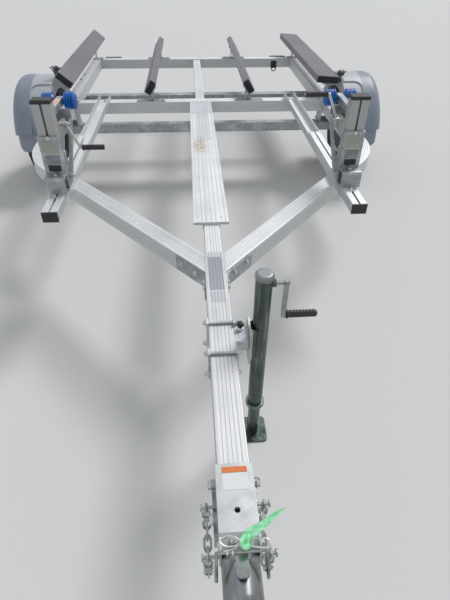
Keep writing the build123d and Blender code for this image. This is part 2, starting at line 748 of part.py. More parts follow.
# Coupler for a ball of the size named above
coupler_half = 40.0
coupler_ball_station = coupler_half
coupler_z = rail_z - 6.0
coupler_wall = 5.0
coupler_bottom = coupler_z - 24.0
coupler_rear_station = 303.0
coupler_bolt_stations = (195.0, 275.0)
ball_gap = 0.4
latch_y = sta(128.0)
latch_z = coupler_z + coupler_half + 10.0
latch_pin = 5.0
wire_radius = 3.5

# Safety chains: one a side, hung in a loop from two pins under the coupler
chain_wire = 3.2
chain_bend = 8.0
chain_straight = 19.0
chain_pitch = 25.0
chain_links = 13
chain_x = 66.0
chain_pin = 4.0
chain_pin_drop = 8.5
chain_turn_radius = 52.5
chain_pin_station = 127.0
chain_pin_z = coupler_z - 12.0


def make_coupler():
    """Pressed ball housing, open below, and the channel that straddles the tongue."""
    ball_y = sta(coupler_ball_station)
    neck_y = sta(tongue_front_station)
    outer = Pos(0, ball_y, coupler_z) * Sphere(coupler_half)
    outer += rod((0, ball_y, coupler_z), (0, neck_y, coupler_z), coupler_half)
    outer += block(-coupler_half, coupler_half, ball_y, neck_y, coupler_bottom, coupler_z)
    outer -= block(-100, 100, ball_y - 200, ball_y + 300, coupler_z - 200, coupler_bottom)
    socket = ball_diameter / 2 + ball_gap
    inner = Pos(0, ball_y, coupler_z) * Sphere(socket)
    inner += rod((0, ball_y, coupler_z - 60), (0, ball_y, coupler_z), socket)
    inner += block(-32, 32, ball_y + 36, neck_y + 2, coupler_z - 60, coupler_z + 16)
    shape = outer - inner
    side_view = Plane(origin=(-half_box - coupler_wall, 0, 0), x_dir=(0, 1, 0), z_dir=(1, 0, 0))
    rear_y = sta(coupler_rear_station)
    lip_y, crown = neck_y - 30, coupler_z + coupler_half
    top = make_face(Polyline((rear_y, frame_top), (rear_y, frame_top + 3), (neck_y, frame_top + 3),
                             (lip_y, crown - 2), (lip_y, crown - 6), (neck_y, frame_top), close=True))
    shape += extrude(side_view * top, amount=2 * (half_box + coupler_wall))
    for side in (-1, 1):
        near, far = side * half_box, side * (half_box + coupler_wall)
        shape += block(near, far, sta(112.0), rear_y, coupler_bottom, frame_top + 1)
        shape += block(far, side * 52.0, sta(150.0), rear_y, coupler_bottom, coupler_bottom + 4)
        for station in coupler_bolt_stations:
            shape += rod((far, sta(station), rail_z), (far + side * 9, sta(station), rail_z), 10.0)
        for station in (chain_pin_station, chain_pin_station + 2 * chain_turn_radius):
            y = sta(station)
            end = side * (chain_x + 10)
            shape += rod((far, y, chain_pin_z), (end, y, chain_pin_z), chain_pin)
            shape += rod((end, y, chain_pin_z), (end + side * 4, y, chain_pin_z), 8.0)
    shape -= block(-half_box, half_box, neck_y, rear_y + 2, 0, frame_top)
    hole_y = sta(195.0)
    return shape - rod((0, hole_y, frame_top - 1), (0, hole_y, frame_top + 5), 6.5)


def make_latch_ears():
    """Two round-topped ears that carry the latch's pin."""
    shape = None
    for side in (-1, 1):
        ear = block(side * 16, side * 20, latch_y - 9, latch_y + 9, coupler_z + 25, latch_z)
        ear += rod((side * 16, latch_y, latch_z), (side * 20, latch_y, latch_z), 9.0)
        ear -= rod((-30, latch_y, latch_z), (30, latch_y, latch_z), latch_pin + shaft_gap)
        shape = ear if shape is None else shape + ear
    return shape


def make_latch():
    """Locking lever about its cross pin, with a wire bail over both sides of the housing."""
    lever = block(-13, 13, latch_y - 66, latch_y + 8, latch_z - 3, latch_z + 3)
    lever = fillet([e for e in lever.edges().filter_by(Axis.Z) if e.center().Y < latch_y], 9.0)
    lever += rod((-24, latch_y, latch_z), (24, latch_y, latch_z), latch_pin)
    bend = (50, latch_y - 20, latch_z + 6)
    foot = (52, latch_y - 56, latch_z - 36)
    lever += rod((-bend[0], bend[1], bend[2]), bend, wire_radius)
    for side in (-1, 1):
        top = (side * bend[0], bend[1], bend[2])
        low = (side * foot[0], foot[1], foot[2])
        lever += rod(top, low, wire_radius)
        lever += Pos(*top) * Sphere(wire_radius)
    return lever


def chain_place(distance):
    """Middle of a link and its direction, at a distance along the loop from the front pin."""
    total = chain_pitch * (chain_links - 1) + 2 * chain_pin_drop
    drop = (total - radians(180) * chain_turn_radius) / 2
    front = sta(chain_pin_station)
    if distance < drop:
        return Vector(0, front, chain_pin_z - distance), 90.0
    if distance > total - drop:
        return Vector(0, front + 2 * chain_turn_radius, chain_pin_z - (total - distance)), 90.0
    turn = (distance - drop) / chain_turn_radius
    center = Vector(0, front + chain_turn_radius, chain_pin_z - drop)
    return center + Vector(0, -cos(turn), -sin(turn)) * chain_turn_radius, 90.0 - degrees(turn)


def make_link():
    """One link lying along X in the XY plane, its ends of straight segments."""
    reach = chain_straight / 2
    points = []
    for side in (1, -1):
        for step in (-90, -30, 30, 90):
            angle = radians(step)
            points.append((side * (reach + chain_bend * cos(angle)), side * chain_bend * sin(angle)))
    path = Polyline(*points, close=True)
    start = Plane(origin=path @ 0, z_dir=path % 0)
    return sweep(start * RegularPolygon(chain_wire, 6), path=path, transition=Transition.RIGHT)


def make_chain(side):
    """The links of one loop, every other one turned a quarter about its length."""
    link = make_link()
    links = []
    for index in range(chain_links):
        middle, slope = chain_place(chain_pin_drop + index * chain_pitch)
        across = 90.0 if index % 2 == 0 else 0.0
        turned = Rot(-slope, 0, 0) * Rot(0, 0, 90) * Rot(across, 0, 0)
        links.append(Pos(side * chain_x, middle.Y, middle.Z) * turned * link)
    return links


def make_tail_light():
    """Lamp housing on the back of the rear crossbeam."""
    y0 = sta(rear_cross_station) + box_size
    lamp = block(690, 850, y0, y0 + 38, frame_top - 84, frame_top + 4)
    lamp = fillet(lamp.edges().filter_by(Axis.Y), 16.0)
    return fillet(lamp.faces().sort_by(Axis.Y)[-1].edges(), 5.0)


# Assembly
save(make_tongue(), "tongue")
save(make_spine(1000.0, front_cross_station), "spine_front")
save(make_spine(front_cross_station + box_size, rear_cross_station), "spine_rear")
save(make_plank(), "walkway_plank")
save(make_cross(front_cross_station, frame_top, rail_inner), "front_crossbeam")
save(make_cross(rear_cross_station, frame_top, rail_outer), "rear_crossbeam")
save(make_cross(lower_cross_station, rail_bottom, rail_outer, 70.0, 44.0, 0), "lower_crossbeam")
save(make_axle(), "axle_tube")

paired = [
    ("main_rail", make_rail()),
    ("torsion_arm", make_torsion_arm()),
    ("tyre", wheel_place(wheel_center_x) * make_tyre()),
    ("wheel_rim", wheel_place(wheel_center_x) * make_rim()),
    ("fender", make_fender()),
]
for node, shape in paired:
    save(shape, node + "_right")
    save(mirrored(shape), node + "_left")

twins = [
    ("axle_hangers", make_axle_hanger()),
    ("fender_brackets", make_fender_bracket()),
    ("tail_lights", make_tail_light()),
]
for node, shape in twins:
    save(Compound(children=shape.solids() + mirrored(shape).solids()), node)

tongue_bracket = make_tongue_bracket()
save(tongue_bracket + mirrored(tongue_bracket), "tongue_brackets")

bunk_brackets = {"inner": [], "outer": []}
for node, x, z, width, tilt, station in bunk_table:
    save(make_bunk(x, z, width, tilt, station), node)
    kind = "inner" if "inner" in node else "outer"
    foot_half_width = 100.0 if kind == "inner" else 45.0
    for row in (front_cross_station, rear_cross_station):
        bunk_brackets[kind] += make_bunk_bracket(x, z, tilt, row, foot_half_width).solids()
for kind, solids in bunk_brackets.items():
    save(Compound(children=solids), "bunk_brackets_" + kind)

for name, x, inward, turn in stand_table:
    stand = [
        ("winch_channel", make_channel(x)),
        ("base_beam", make_base_beam(x)),
        ("post_foot", make_post_foot(x)),
        ("winch_post", make_post(x)),
        ("bow_arm", make_bow_arm(x, inward)),
        ("winch_frame", make_winch_frame(x)),
        ("winch_drum", make_winch_drum(x, inward)),
        ("winch_strap", make_winch_strap(x, inward)),
        ("winch_crank", make_winch_crank(x, inward, turn)),
        ("winch_grip", make_winch_grip(x, inward, turn)),
        ("stand_caps", Compound(children=[make_beam_cap(x), make_post_cap(x)])),
        ("bow_rollers", Compound(children=[make_bow_roller(x, end) for end in (-1, 1)])),
    ]
    for node, shape in stand:
        save(shape, node + "_" + name)

save(make_jack_mount(), "jack_mount")
save(make_jack_tube(), "jack_tube")
save(make_jack_leg(), "jack_leg")
save(make_jack_crank(), "jack_crank")
save(make_jack_grip(), "jack_grip")
save(make_coupler() + make_latch_ears(), "coupler_body")
save(make_latch(), "coupler_latch")
save(Compound(children=make_chain(-1) + make_chain(1)), "safety_chains")
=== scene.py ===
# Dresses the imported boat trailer: finishes, fastenings, tread, carpet, straps and labels
import itertools
import json
import math
import random

import bmesh
import bpy
from mathutils import Matrix, Vector


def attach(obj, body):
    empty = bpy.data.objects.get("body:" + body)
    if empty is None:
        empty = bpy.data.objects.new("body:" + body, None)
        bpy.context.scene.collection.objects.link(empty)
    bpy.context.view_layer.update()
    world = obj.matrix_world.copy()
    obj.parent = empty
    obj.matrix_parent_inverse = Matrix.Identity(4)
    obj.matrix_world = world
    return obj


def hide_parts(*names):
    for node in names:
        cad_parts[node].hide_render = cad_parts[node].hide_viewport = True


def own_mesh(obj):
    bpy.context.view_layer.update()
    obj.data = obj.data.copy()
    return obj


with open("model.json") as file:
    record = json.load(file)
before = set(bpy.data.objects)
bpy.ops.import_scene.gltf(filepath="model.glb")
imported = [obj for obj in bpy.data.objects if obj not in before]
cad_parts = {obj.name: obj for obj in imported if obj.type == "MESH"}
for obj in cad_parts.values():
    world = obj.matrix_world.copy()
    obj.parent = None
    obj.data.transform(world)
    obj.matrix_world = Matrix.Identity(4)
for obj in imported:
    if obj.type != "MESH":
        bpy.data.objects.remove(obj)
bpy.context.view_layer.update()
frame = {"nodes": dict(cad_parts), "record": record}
nodes = frame["nodes"]
print("frame loaded:", len(nodes), "nodes")

# the frame's own measures, in metres
length = 4.69
frameTop = 0.535
boxSize = 0.0762


def sta(distance):
    # a station behind the coupler's nose, as Y
    return distance - length / 2


class Wire:
    # a socket that takes part in sums
    def __init__(self, shade, socket):
        self.shade = shade
        self.socket = socket

    def calc(self, operation, other=0.0):
        return self.shade.maths(operation, self, other)

    def __add__(self, other):
        return self.calc("ADD", other)

    def __sub__(self, other):
        return self.calc("SUBTRACT", other)

    def __rsub__(self, other):
        return self.shade.maths("SUBTRACT", other, self)

    def __mul__(self, other):
        return self.calc("MULTIPLY", other)

    def __lt__(self, other):
        return self.calc("LESS_THAN", other)

    def __gt__(self, other):
        return self.calc("GREATER_THAN", other)


class Shade:
    # one material's tree, with its surface shader ready
    def __init__(self, name, **base):
        self.material = bpy.data.materials.new(name)
        self.material.use_nodes = True
        self.tree = self.material.node_tree
        self.surface = self.tree.nodes["Principled BSDF"]
        for socket, value in base.items():
            self.put(socket, value)

    def node(self, kind, settings=None, sockets=None, out=0):
        made = self.tree.nodes.new(kind)
        for name, value in (settings or {}).items():
            setattr(made, name, value)
        for name, value in (sockets or {}).items():
            self.feed(made.inputs[name], value)
        return Wire(self, made.outputs[out])

    def feed(self, socket, value):
        if isinstance(value, Wire):
            self.tree.links.new(value.socket, socket)
        elif isinstance(value, tuple) and len(value) == 3 and len(socket.default_value) == 4:
            socket.default_value = (*value, 1)
        else:
            socket.default_value = value

    def put(self, socket, value):
        self.feed(self.surface.inputs[socket], value)

    def finish(self, color, rough, normal):
        for socket, value in (("Base Color", color), ("Roughness", rough), ("Normal", normal)):
            self.put(socket, value)
        return self.material

    def maths(self, operation, first, second):
        return self.node("ShaderNodeMath", {"operation": operation}, {0: first, 1: second})

    def place(self):
        return self.node("ShaderNodeTexCoord", out=3)

    def noise(self, scale, detail=4.0, rough=0.55, at=None):
        sockets = {"Scale": scale, "Detail": detail, "Roughness": rough, "Vector": at or self.place()}
        return self.node("ShaderNodeTexNoise", {}, sockets)

    def streaks(self, scale, turn=0.0, detail=3.0, rough=0.6):
        # noise drawn out along the object's axes, after a turn about Z
        inverse = tuple(1 / part for part in scale)
        sockets = {"Vector": self.place(), "Scale": inverse, "Rotation": (0, 0, turn)}
        at = self.node("ShaderNodeMapping", {"vector_type": "TEXTURE"}, sockets)
        return self.noise(1.0, detail, rough, at)

    def cells(self, scale, out=0):
        return self.node("ShaderNodeTexVoronoi", {}, {"Scale": scale, "Vector": self.place()}, out)

    def level(self, value, low, high, lowOut=0.0, highOut=1.0):
        sockets = {"Value": value, "From Min": low, "From Max": high, "To Min": lowOut, "To Max": highOut}
        return self.node("ShaderNodeMapRange", {"clamp": True}, sockets)

    def vary(self, noise, low, high):
        # from low to high over the middle of a noise
        return self.level(noise, 0.3, 0.7, low, high)

    def mix(self, factor, first, second):
        return self.node("ShaderNodeMix", {"data_type": "RGBA"}, {0: factor, 6: first, 7: second}, 2)

    def blend(self, value, low, high, first, second):
        # the first colour below low, the second above high
        return self.mix(self.level(value, low, high), first, second)

    def tintPatch(self, color, tint, value, low, high, strength):
        # a tint laid over the colour where value passes from low to high
        return self.mix(self.level(value, low, high) * strength, color, tint)

    def axes(self, at=None):
        made = self.node("ShaderNodeSeparateXYZ", {}, {0: at or self.place()})
        return [Wire(self, part) for part in made.socket.node.outputs]

    def softened(self, width=0.0012):
        # the normal with its hard corners rounded
        return self.node("ShaderNodeBevel", {"samples": 4}, {"Radius": width})

    def bump(self, height, strength, distance, after=None):
        sockets = {"Height": height, "Strength": strength, "Distance": distance}
        if after:
            sockets["Normal"] = after
        return self.node("ShaderNodeBump", {}, sockets)


# the side colour and the last colour are painted shade, on walls and in the grooves
aluminiumLook = {
    "face": (0.74, 0.745, 0.75), "bright": (0.84, 0.842, 0.845), "dull": (0.62, 0.63, 0.645),
    "side": (0.44, 0.455, 0.45), "tintPatch": (0.42, 0.32, 0.2), "grooveShade": (0.36, 0.34, 0.345),
}
arm = 40.4  # the front rails' angle to the middle line, degrees
plankStain = (-0.024, sta(2.257))
spineTop = frameTop - 0.0381 + 0.03175
plankTop = spineTop + 0.012
# painted sky reflection on the tops: from and to station, half width, lowest height, strength, colour
tongueSkyReflection = (
    (0.95, 1.15, 0.026, frameTop - 0.006, 0.75, (0.27, 0.28, 0.33)),
    (0.885, 0.944, 0.026, frameTop - 0.006, 0.45, (0.36, 0.36, 0.42)),
)
plankSkyReflection = (
    (2.33, 2.8, 0.04, plankTop - 0.003, 0.32, (0.44, 0.48, 0.53)),
    (2.8, 3.08, 0.073, plankTop - 0.003, 0.47, (0.44, 0.48, 0.53)),
)


railBend = {"radius": 0.462, "end": sta(2.3134), "offset": 0.9119, "apex": sta(1.072)}


def railDistance(shade, side):
    # distance from the rail's middle line: slanting arm, round bend, straight run
    look = railBend
    x, y, _ = shade.axes()
    x = x * side
    slant = math.radians(arm)
    straight = x - look["offset"]
    angled = x * math.cos(slant) - (y - look["apex"]) * math.sin(slant)
    acrossX, acrossY = x - (look["offset"] - look["radius"]), y - look["end"]
    bent = (acrossX * acrossX + acrossY * acrossY).calc("SQRT") - look["radius"]
    onArm = acrossX * math.sin(slant) + acrossY * math.cos(slant) < 0
    behind = y > look["end"]
    front = angled * onArm + bent * (1 - onArm)
    return straight * behind + front * (1 - behind)


def millAluminium(name, along="y", turn=0.0, tintPatch=None, films=(), grooves=None, tone=1.0):
    # extruded aluminium: fine draw lines along the bar, cloudy oxide, handling marks
    look = {key: tuple(part * tone for part in color) for key, color in aluminiumLook.items()}
    shade = Shade(name, Metallic=0.5)
    shade.put("IOR", 1.45)
    x, y, z = shade.axes()
    fine = tuple(2.2 if axis == along else 260 for axis in "xyz")
    wide = tuple(0.7 if axis == along else 60 for axis in "xyz")
    lines, broad = shade.streaks(fine), shade.streaks(wide, 0.0, 2.0, 0.5)
    if turn:
        # the rails run straight behind their bend and slant in before it
        slant = shade.level(y, sta(2.25), sta(2.1))
        lines = lines * (1 - slant) + shade.streaks(fine, turn) * slant
        broad = broad * (1 - slant) + shade.streaks(wide, turn, 2.0, 0.5) * slant
    cloud = shade.noise(5.5, 5.0, 0.62)
    color = shade.blend(cloud, 0.36, 0.66, look["dull"], look["face"])
    color = shade.blend(lines * 0.6 + broad * 0.4, 0.34, 0.7, color, look["bright"])
    color = shade.tintPatch(color, look["dull"], shade.noise(95.0, 2.0, 0.5), 0.66, 0.74, 0.25)
    # painted shade: walls that face sideways are darkened towards the side colour, tops are not
    upward = shade.axes(shade.node("ShaderNodeNewGeometry", out=1))[2]
    wall = shade.level(upward, 0.7, 0.3) * shade.level(cloud, 0.3, 0.55, 0.3, 0.5)
    color = shade.mix(wall, color, look["side"])
    if grooves:
        pitch, half, top, strength = grooves
        distance = railDistance(shade, -1 if turn > 0 else 1) if turn else x
        # painted shade: thin darker lines along the grooves
        grooveShade = shade.level(distance.calc("PINGPONG", pitch / 2), half, half * 0.55) * (z > top - 0.002)
        color = shade.mix(grooveShade * strength, color, look["grooveShade"])
    if tintPatch:
        aside, behind = x - tintPatch[0], y - tintPatch[1]
        near = 1 - shade.level(aside * aside * 420 + behind * behind * 40, 0.02, 1.0)
        color = shade.mix(near * shade.level(shade.noise(30, 4), 0.3, 0.52) * 0.66, color, look["tintPatch"])
    # painted sky reflection: bluish patches in the given zones
    for start, end, reach, low, strength, tint in films:
        zone = (y > sta(start)) * (y < sta(end)) * (x < reach) * (x > -reach) * (z > low)
        color = shade.mix(zone * strength, color, tint)
    drawn = shade.bump(lines, 0.35, 0.00008, shade.softened())
    rough = shade.level(lines * 0.5 + cloud * 0.5, 0.35, 0.65, 0.4, 0.56)
    return shade.finish(color, rough, shade.bump(cloud, 0.12, 0.0006, drawn))


# dark, middle and light zinc
galvanisedLook = ((0.3, 0.325, 0.34), (0.42, 0.445, 0.46), (0.56, 0.585, 0.6))


def galvanised(name, tone=1.0):
    # hot-dip zinc: soft spangle patches and white bloom
    dark, middle, light = [tuple(part * tone for part in color) for color in galvanisedLook]
    shade = Shade(name, Metallic=0.7)
    spangle = shade.node("ShaderNodeSeparateColor", {}, {0: shade.cells(55.0, 1)})
    cloud = shade.noise(14.0, 5.0, 0.6)
    color = shade.blend(spangle * 0.5 + cloud * 0.5, 0.25, 0.75, dark, middle)
    color = shade.blend(cloud, 0.52, 0.72, color, light)
    rough = shade.level(spangle * 0.4 + cloud * 0.6, 0.2, 0.8, 0.36, 0.56)
    return shade.finish(color, rough, shade.bump(cloud * 0.7 + spangle * 0.3, 0.25, 0.0006, shade.softened()))


def zincPlate(name, color=(0.58, 0.585, 0.585), cloudTone=(0.5, 0.485, 0.44), rough=0.26):
    # plated steel with cloudy patches of a second tone, by default a faint warm cast, and dulled edges
    shade = Shade(name, Metallic=0.92)
    cloud, smudge = shade.noise(26.0, 4.0, 0.6), shade.noise(120.0, 3.0, 0.5)
    tone = shade.blend(cloud, 0.42, 0.66, color, cloudTone)
    tone = shade.tintPatch(tone, (0.25, 0.24, 0.22), smudge, 0.6, 0.75, 0.3)
    normal = shade.bump(smudge, 0.12, 0.0003, shade.softened(0.0008))
    return shade.finish(tone, shade.vary(cloud, rough, rough + 0.18), normal)


def darkZinc(name):
    # the jack's tubes: plated steel, its dark green tone painted reflection of grass, with long soft streaks
    shade = Shade(name, Metallic=0.85)
    x, _, z = shade.axes()
    streakAndSheen, cloud = shade.streaks((70, 70, 3)), shade.noise(11.0, 4.0, 0.6)
    color = shade.blend(streakAndSheen * 0.5 + cloud * 0.5, 0.35, 0.65, (0.05, 0.072, 0.06), (0.13, 0.16, 0.142))
    # painted highlights: lighter narrow streaks down the tube
    color = shade.tintPatch(color, (0.3, 0.34, 0.32), streakAndSheen, 0.58, 0.7, 0.7)
    cap = shade.level(z, frameTop + 0.1965, frameTop + 0.1975)
    collar = shade.level(z, 0.188, 0.187) * shade.level(z, 0.169, 0.17)
    plate = (x < 0.0963) * (z > 0.3)  # the swivel plate beside the tube is plain galvanised
    color = shade.mix(cap, color, (0.25, 0.255, 0.27))
    color = shade.mix(plate, color, shade.blend(cloud, 0.4, 0.6, (0.4, 0.42, 0.41), (0.52, 0.535, 0.52)))
    color = shade.mix(collar * 0.6, color, (0.19, 0.27, 0.27))
    rough = shade.vary(cloud, 0.2, 0.34) + (cap + plate) * 0.2
    return shade.finish(color, rough, shade.bump(streakAndSheen, 0.1, 0.0004))


def fenderPlastic(name):
    # moulded grey plastic with a blue tint that is partly painted sky reflection and shade: fine grain, a
    # painted lit patch inboard on top, dried splashes near the bottom
    shade = Shade(name)
    x, _, z = shade.axes()
    cloud = shade.noise(6.0, 5.0, 0.6)
    # grey plastic, its blue tint partly painted shade and sky reflection
    color = shade.blend(cloud, 0.35, 0.7, (0.205, 0.245, 0.31), (0.29, 0.325, 0.385))
    # painted light: the inboard top is lightened
    litInboardTop = shade.level(x.calc("ABSOLUTE"), 1.1235, 1.1205) * shade.level(z, 0.45, 0.62)
    color = shade.mix(litInboardTop * 0.75, color, (0.54, 0.55, 0.575))
    splash = shade.level(shade.noise(70.0, 4.0, 0.7), 0.56, 0.68) * shade.level(z + cloud * 0.2, 0.62, 0.42)
    color = shade.mix(splash * 0.55, color, (0.3, 0.27, 0.22))
    normal = shade.bump(shade.noise(900.0, 2.0, 0.5), 0.16, 0.0003)
    return shade.finish(color, shade.vary(cloud, 0.36, 0.55) + splash * 0.25, normal)


def bunkCarpet(name):
    # looped outdoor carpet: small tufts, faded in patches
    shade = Shade(name)
    shade.put("Sheen Weight", 0.35)
    shade.put("Sheen Roughness", 0.6)
    tufts, fuzz = shade.cells(420.0), shade.noise(900.0, 3.0, 0.7)
    color = shade.blend(tufts, 0.15, 0.75, (0.245, 0.235, 0.265), (0.125, 0.118, 0.138))
    color = shade.tintPatch(color, (0.28, 0.27, 0.295), shade.noise(4.0, 4.0, 0.6), 0.4, 0.7, 0.35)
    return shade.finish(color, 0.95, shade.bump((1 - tufts) * 0.8 + fuzz * 0.3, 0.9, 0.0016))


def clouded(name, colors, rough, cloud, spread, grain, bump, metal=0.0):
    # soft patches between two tones, with a fine grain
    shade = Shade(name, Metallic=metal)
    patches = shade.noise(*cloud)
    color = shade.blend(patches, *spread, *colors)
    return shade.finish(color, shade.vary(patches, *rough), shade.bump(shade.noise(*grain), *bump))


def mouldedPlastic(name, dark, light, rough=0.42, grain=600.0):
    return clouded(name, (dark, light), (rough - 0.08, rough + 0.14), (24.0, 4.0, 0.6), (0.4, 0.7),
                   (grain, 2.0), (0.15, 0.0003))


def couplerZinc(name):
    # the coupler: satin plate behind, a smoother dome in front, darker and bluish as painted reflection, with
    # a bronze cast
    shade = Shade(name, Metallic=0.9)
    y = shade.axes()[1]
    cloud = shade.noise(30.0, 4.0, 0.6)
    plate = shade.blend(cloud, 0.4, 0.65, (0.46, 0.47, 0.47), (0.38, 0.39, 0.39))
    bronze = shade.level(shade.streaks((30, 9, 12)) * 0.8 + cloud * 0.2, 0.38, 0.6) * 0.85
    dome = shade.level(y + cloud * 0.01, sta(0.118), sta(0.1))
    # painted reflection: the dome's darker bluish tone
    color = shade.mix(dome, plate, shade.mix(bronze, (0.29, 0.31, 0.335), (0.15, 0.13, 0.095)))
    color = shade.tintPatch(color, (0.22, 0.21, 0.19), shade.noise(140.0), 0.62, 0.74, 0.4)
    rough = shade.level(dome, 0.0, 1.0, 0.42, 0.25) + shade.level(cloud, 0.4, 0.7, 0.0, 0.08)
    return shade.finish(color, rough, shade.bump(cloud, 0.15, 0.0006, shade.softened()))


def tailLamp(name):
    # black housing in front, red lens behind
    shade = Shade(name)
    y = shade.axes()[1]
    lens = shade.level(y, sta(4.4822), sta(4.4824))
    cells = shade.cells(160.0)
    red = shade.blend(cells, 0.2, 0.7, (0.34, 0.008, 0.008), (0.2, 0.004, 0.004))
    shade.put("Coat Weight", lens * 0.5)
    color = shade.mix(lens, (0.014, 0.014, 0.016), red)
    return shade.finish(color, shade.level(lens, 0.0, 1.0, 0.5, 0.14), shade.bump(cells * lens, 0.3, 0.0008))


def webbing(name):
    # woven strap: fine crossing ribs
    shade = Shade(name)
    shade.put("Sheen Weight", 0.2)
    x, y, z = shade.axes()
    weave = ((y + z) * 520 * 3.1).calc("SINE") * (x * 520 * 4.2).calc("SINE")
    mottled = weave * 0.5 + shade.noise(40.0)
    color = shade.blend(mottled, 0.1, 0.9, (0.016, 0.017, 0.02), (0.05, 0.052, 0.058))
    return shade.finish(color, 0.85, shade.bump(weave, 0.5, 0.0005))


def labelFilm(name, color, rough=0.38, mottle=0.06):
    # blank printed film: faint mottling, tiny bubbles
    darker = tuple(part * (1 - mottle * 3) for part in color)
    return clouded(name, (color, darker), (rough - 0.08, rough + 0.12), (38.0, 4.0), (0.35, 0.7),
                   (260.0,), (0.12, 0.0003))


def ribbonFilm(name):
    # thin creased marking tape
    shade = Shade(name)
    crease = shade.streaks((60, 120, 60))
    color = shade.blend(crease, 0.38, 0.66, (0.23, 0.74, 0.37), (0.48, 0.91, 0.58))
    return shade.finish(color, shade.vary(crease, 0.3, 0.5), shade.bump(crease, 0.4, 0.001))


rubberLook = (
    ((0.017, 0.0175, 0.018), (0.075, 0.071, 0.064)), (0.66, 0.92), (9.0, 5.0, 0.65), (0.42, 0.72),
    (420.0, 2.0, 0.5), (0.25, 0.0003),
)
rimLook = (
    ((0.56, 0.575, 0.59), (0.4, 0.4, 0.38)), (0.32, 0.5), (18.0, 5.0, 0.6), (0.4, 0.7),
    (240.0,), (0.08, 0.0002), 0.55,
)


finishes = {
    "mill_aluminium": millAluminium("mill_aluminium"),
    "galvanised_steel": galvanised("galvanised_steel"),
    "jack_zinc": darkZinc("jack_zinc"),
    "zinc_plate": zincPlate("zinc_plate"),
    "tyre_rubber": clouded("tyre_rubber", *rubberLook),  # dusty on the tread
    "wheel_metal": clouded("wheel_metal", *rimLook),
    "fender_plastic": fenderPlastic("fender_plastic"),
    "bunk_carpet": bunkCarpet("bunk_carpet"),
    "black_plastic": mouldedPlastic("black_plastic", (0.012, 0.013, 0.016), (0.03, 0.032, 0.036)),
    "roller_blue": mouldedPlastic("roller_blue", (0.004, 0.105, 0.42), (0.008, 0.155, 0.53), 0.34),
    "strap_webbing": webbing("strap_webbing"),
    "lamp_red": tailLamp("lamp_red"),
}


slant = math.radians(arm)
barGrooves = (0.011, 0.0013)  # pitch and half width, before the height of the top and the strength
plankGrooves = (0.02, 0.0016)
special = {
    # painted light: the plank gets a slightly lighter copy of the aluminium
    "walkway_plank": millAluminium("plank_aluminium_lit", tintPatch=plankStain, films=plankSkyReflection, tone=1.05,
                                   grooves=(*plankGrooves, plankTop, 0.32)),
    "tongue": millAluminium("tongue_aluminium", films=tongueSkyReflection, tone=0.86,
                            grooves=(*barGrooves, frameTop, 0.32)),
    "spine_front": millAluminium("spine_aluminium", grooves=(*barGrooves, spineTop, 0.5)),
    "coupler_body": couplerZinc("coupler_zinc"),
    "main_rail_left": millAluminium("rail_left_aluminium", turn=slant, grooves=(*barGrooves, frameTop, 0.6)),
    "main_rail_right": millAluminium("rail_right_aluminium", turn=-slant,
                                     grooves=(*barGrooves, frameTop, 0.6)),
    "front_crossbeam": millAluminium("cross_aluminium", "x"),
    # painted shade: the posts get a darker copy of the aluminium
    "winch_post_left": millAluminium("post_aluminium_shaded", "z", tone=0.68),
    "jack_mount": galvanised("mount_zinc", 1.35),
    "jack_crank": zincPlate("crank_zinc", (0.33, 0.345, 0.345), (0.24, 0.245, 0.24), 0.26),
    # painted reflection: the latch's dark green patches
    "coupler_latch": zincPlate("latch_zinc_painted_reflection", (0.38, 0.41, 0.395), (0.16, 0.195, 0.17), 0.14),
    # painted shade: the chains' darker patches
    "safety_chains": zincPlate("chain_zinc_shaded", (0.46, 0.475, 0.48), (0.3, 0.31, 0.3), 0.22),
    # painted shade: the drums get a darker zinc, for the winch's shaded inside
    "winch_drum_left": zincPlate("drum_zinc_shaded", (0.4, 0.41, 0.41), (0.27, 0.265, 0.24), 0.28),
}
for name, like in (("rear_crossbeam", "front_crossbeam"), ("spine_rear", "spine_front"),
                   ("winch_post_right", "winch_post_left"), ("winch_drum_right", "winch_drum_left")):
    special[name] = special[like]
boltFinish = zincPlate("bolt_zinc", (0.64, 0.64, 0.635), (0.54, 0.515, 0.45), 0.22)
brightFinish = zincPlate("bright_wire", (0.78, 0.78, 0.77), (0.66, 0.64, 0.58), 0.14)
# painted shade: near-black finish for the bunks' end faces
bunkEndShade = mouldedPlastic("bunk_end_shade", (0.01, 0.011, 0.013), (0.022, 0.023, 0.026), 0.7, 300.0)
ribbonFinish = ribbonFilm("ribbon_film")
filmLook = {  # colour, roughness, mottling
    "orange": ((0.82, 0.22, 0.06),),
    "pale": ((0.84, 0.85, 0.87), 0.34, 0.03),
    "green": ((0.38, 0.415, 0.355),),
    "slate": ((0.27, 0.31, 0.36), 0.5, 0.12),
    "lime": ((0.5, 0.54, 0.3),),
    "pink": ((0.82, 0.5, 0.42),),
    "brown": ((0.5, 0.3, 0.17), 0.5, 0.12),
    "black": ((0.022, 0.025, 0.03), 0.45, 0.1),
}
films = {name: labelFilm(name + "_film", *look) for name, look in filmLook.items()}

slotOf = {entry["node"]: entry["material_slot"] for entry in frame["record"]["subparts"]}
for name, node in nodes.items():
    node.data.materials.clear()
    node.data.materials.append(special.get(name) or finishes[slotOf[name]])
print("finishes on", len(nodes), "nodes")


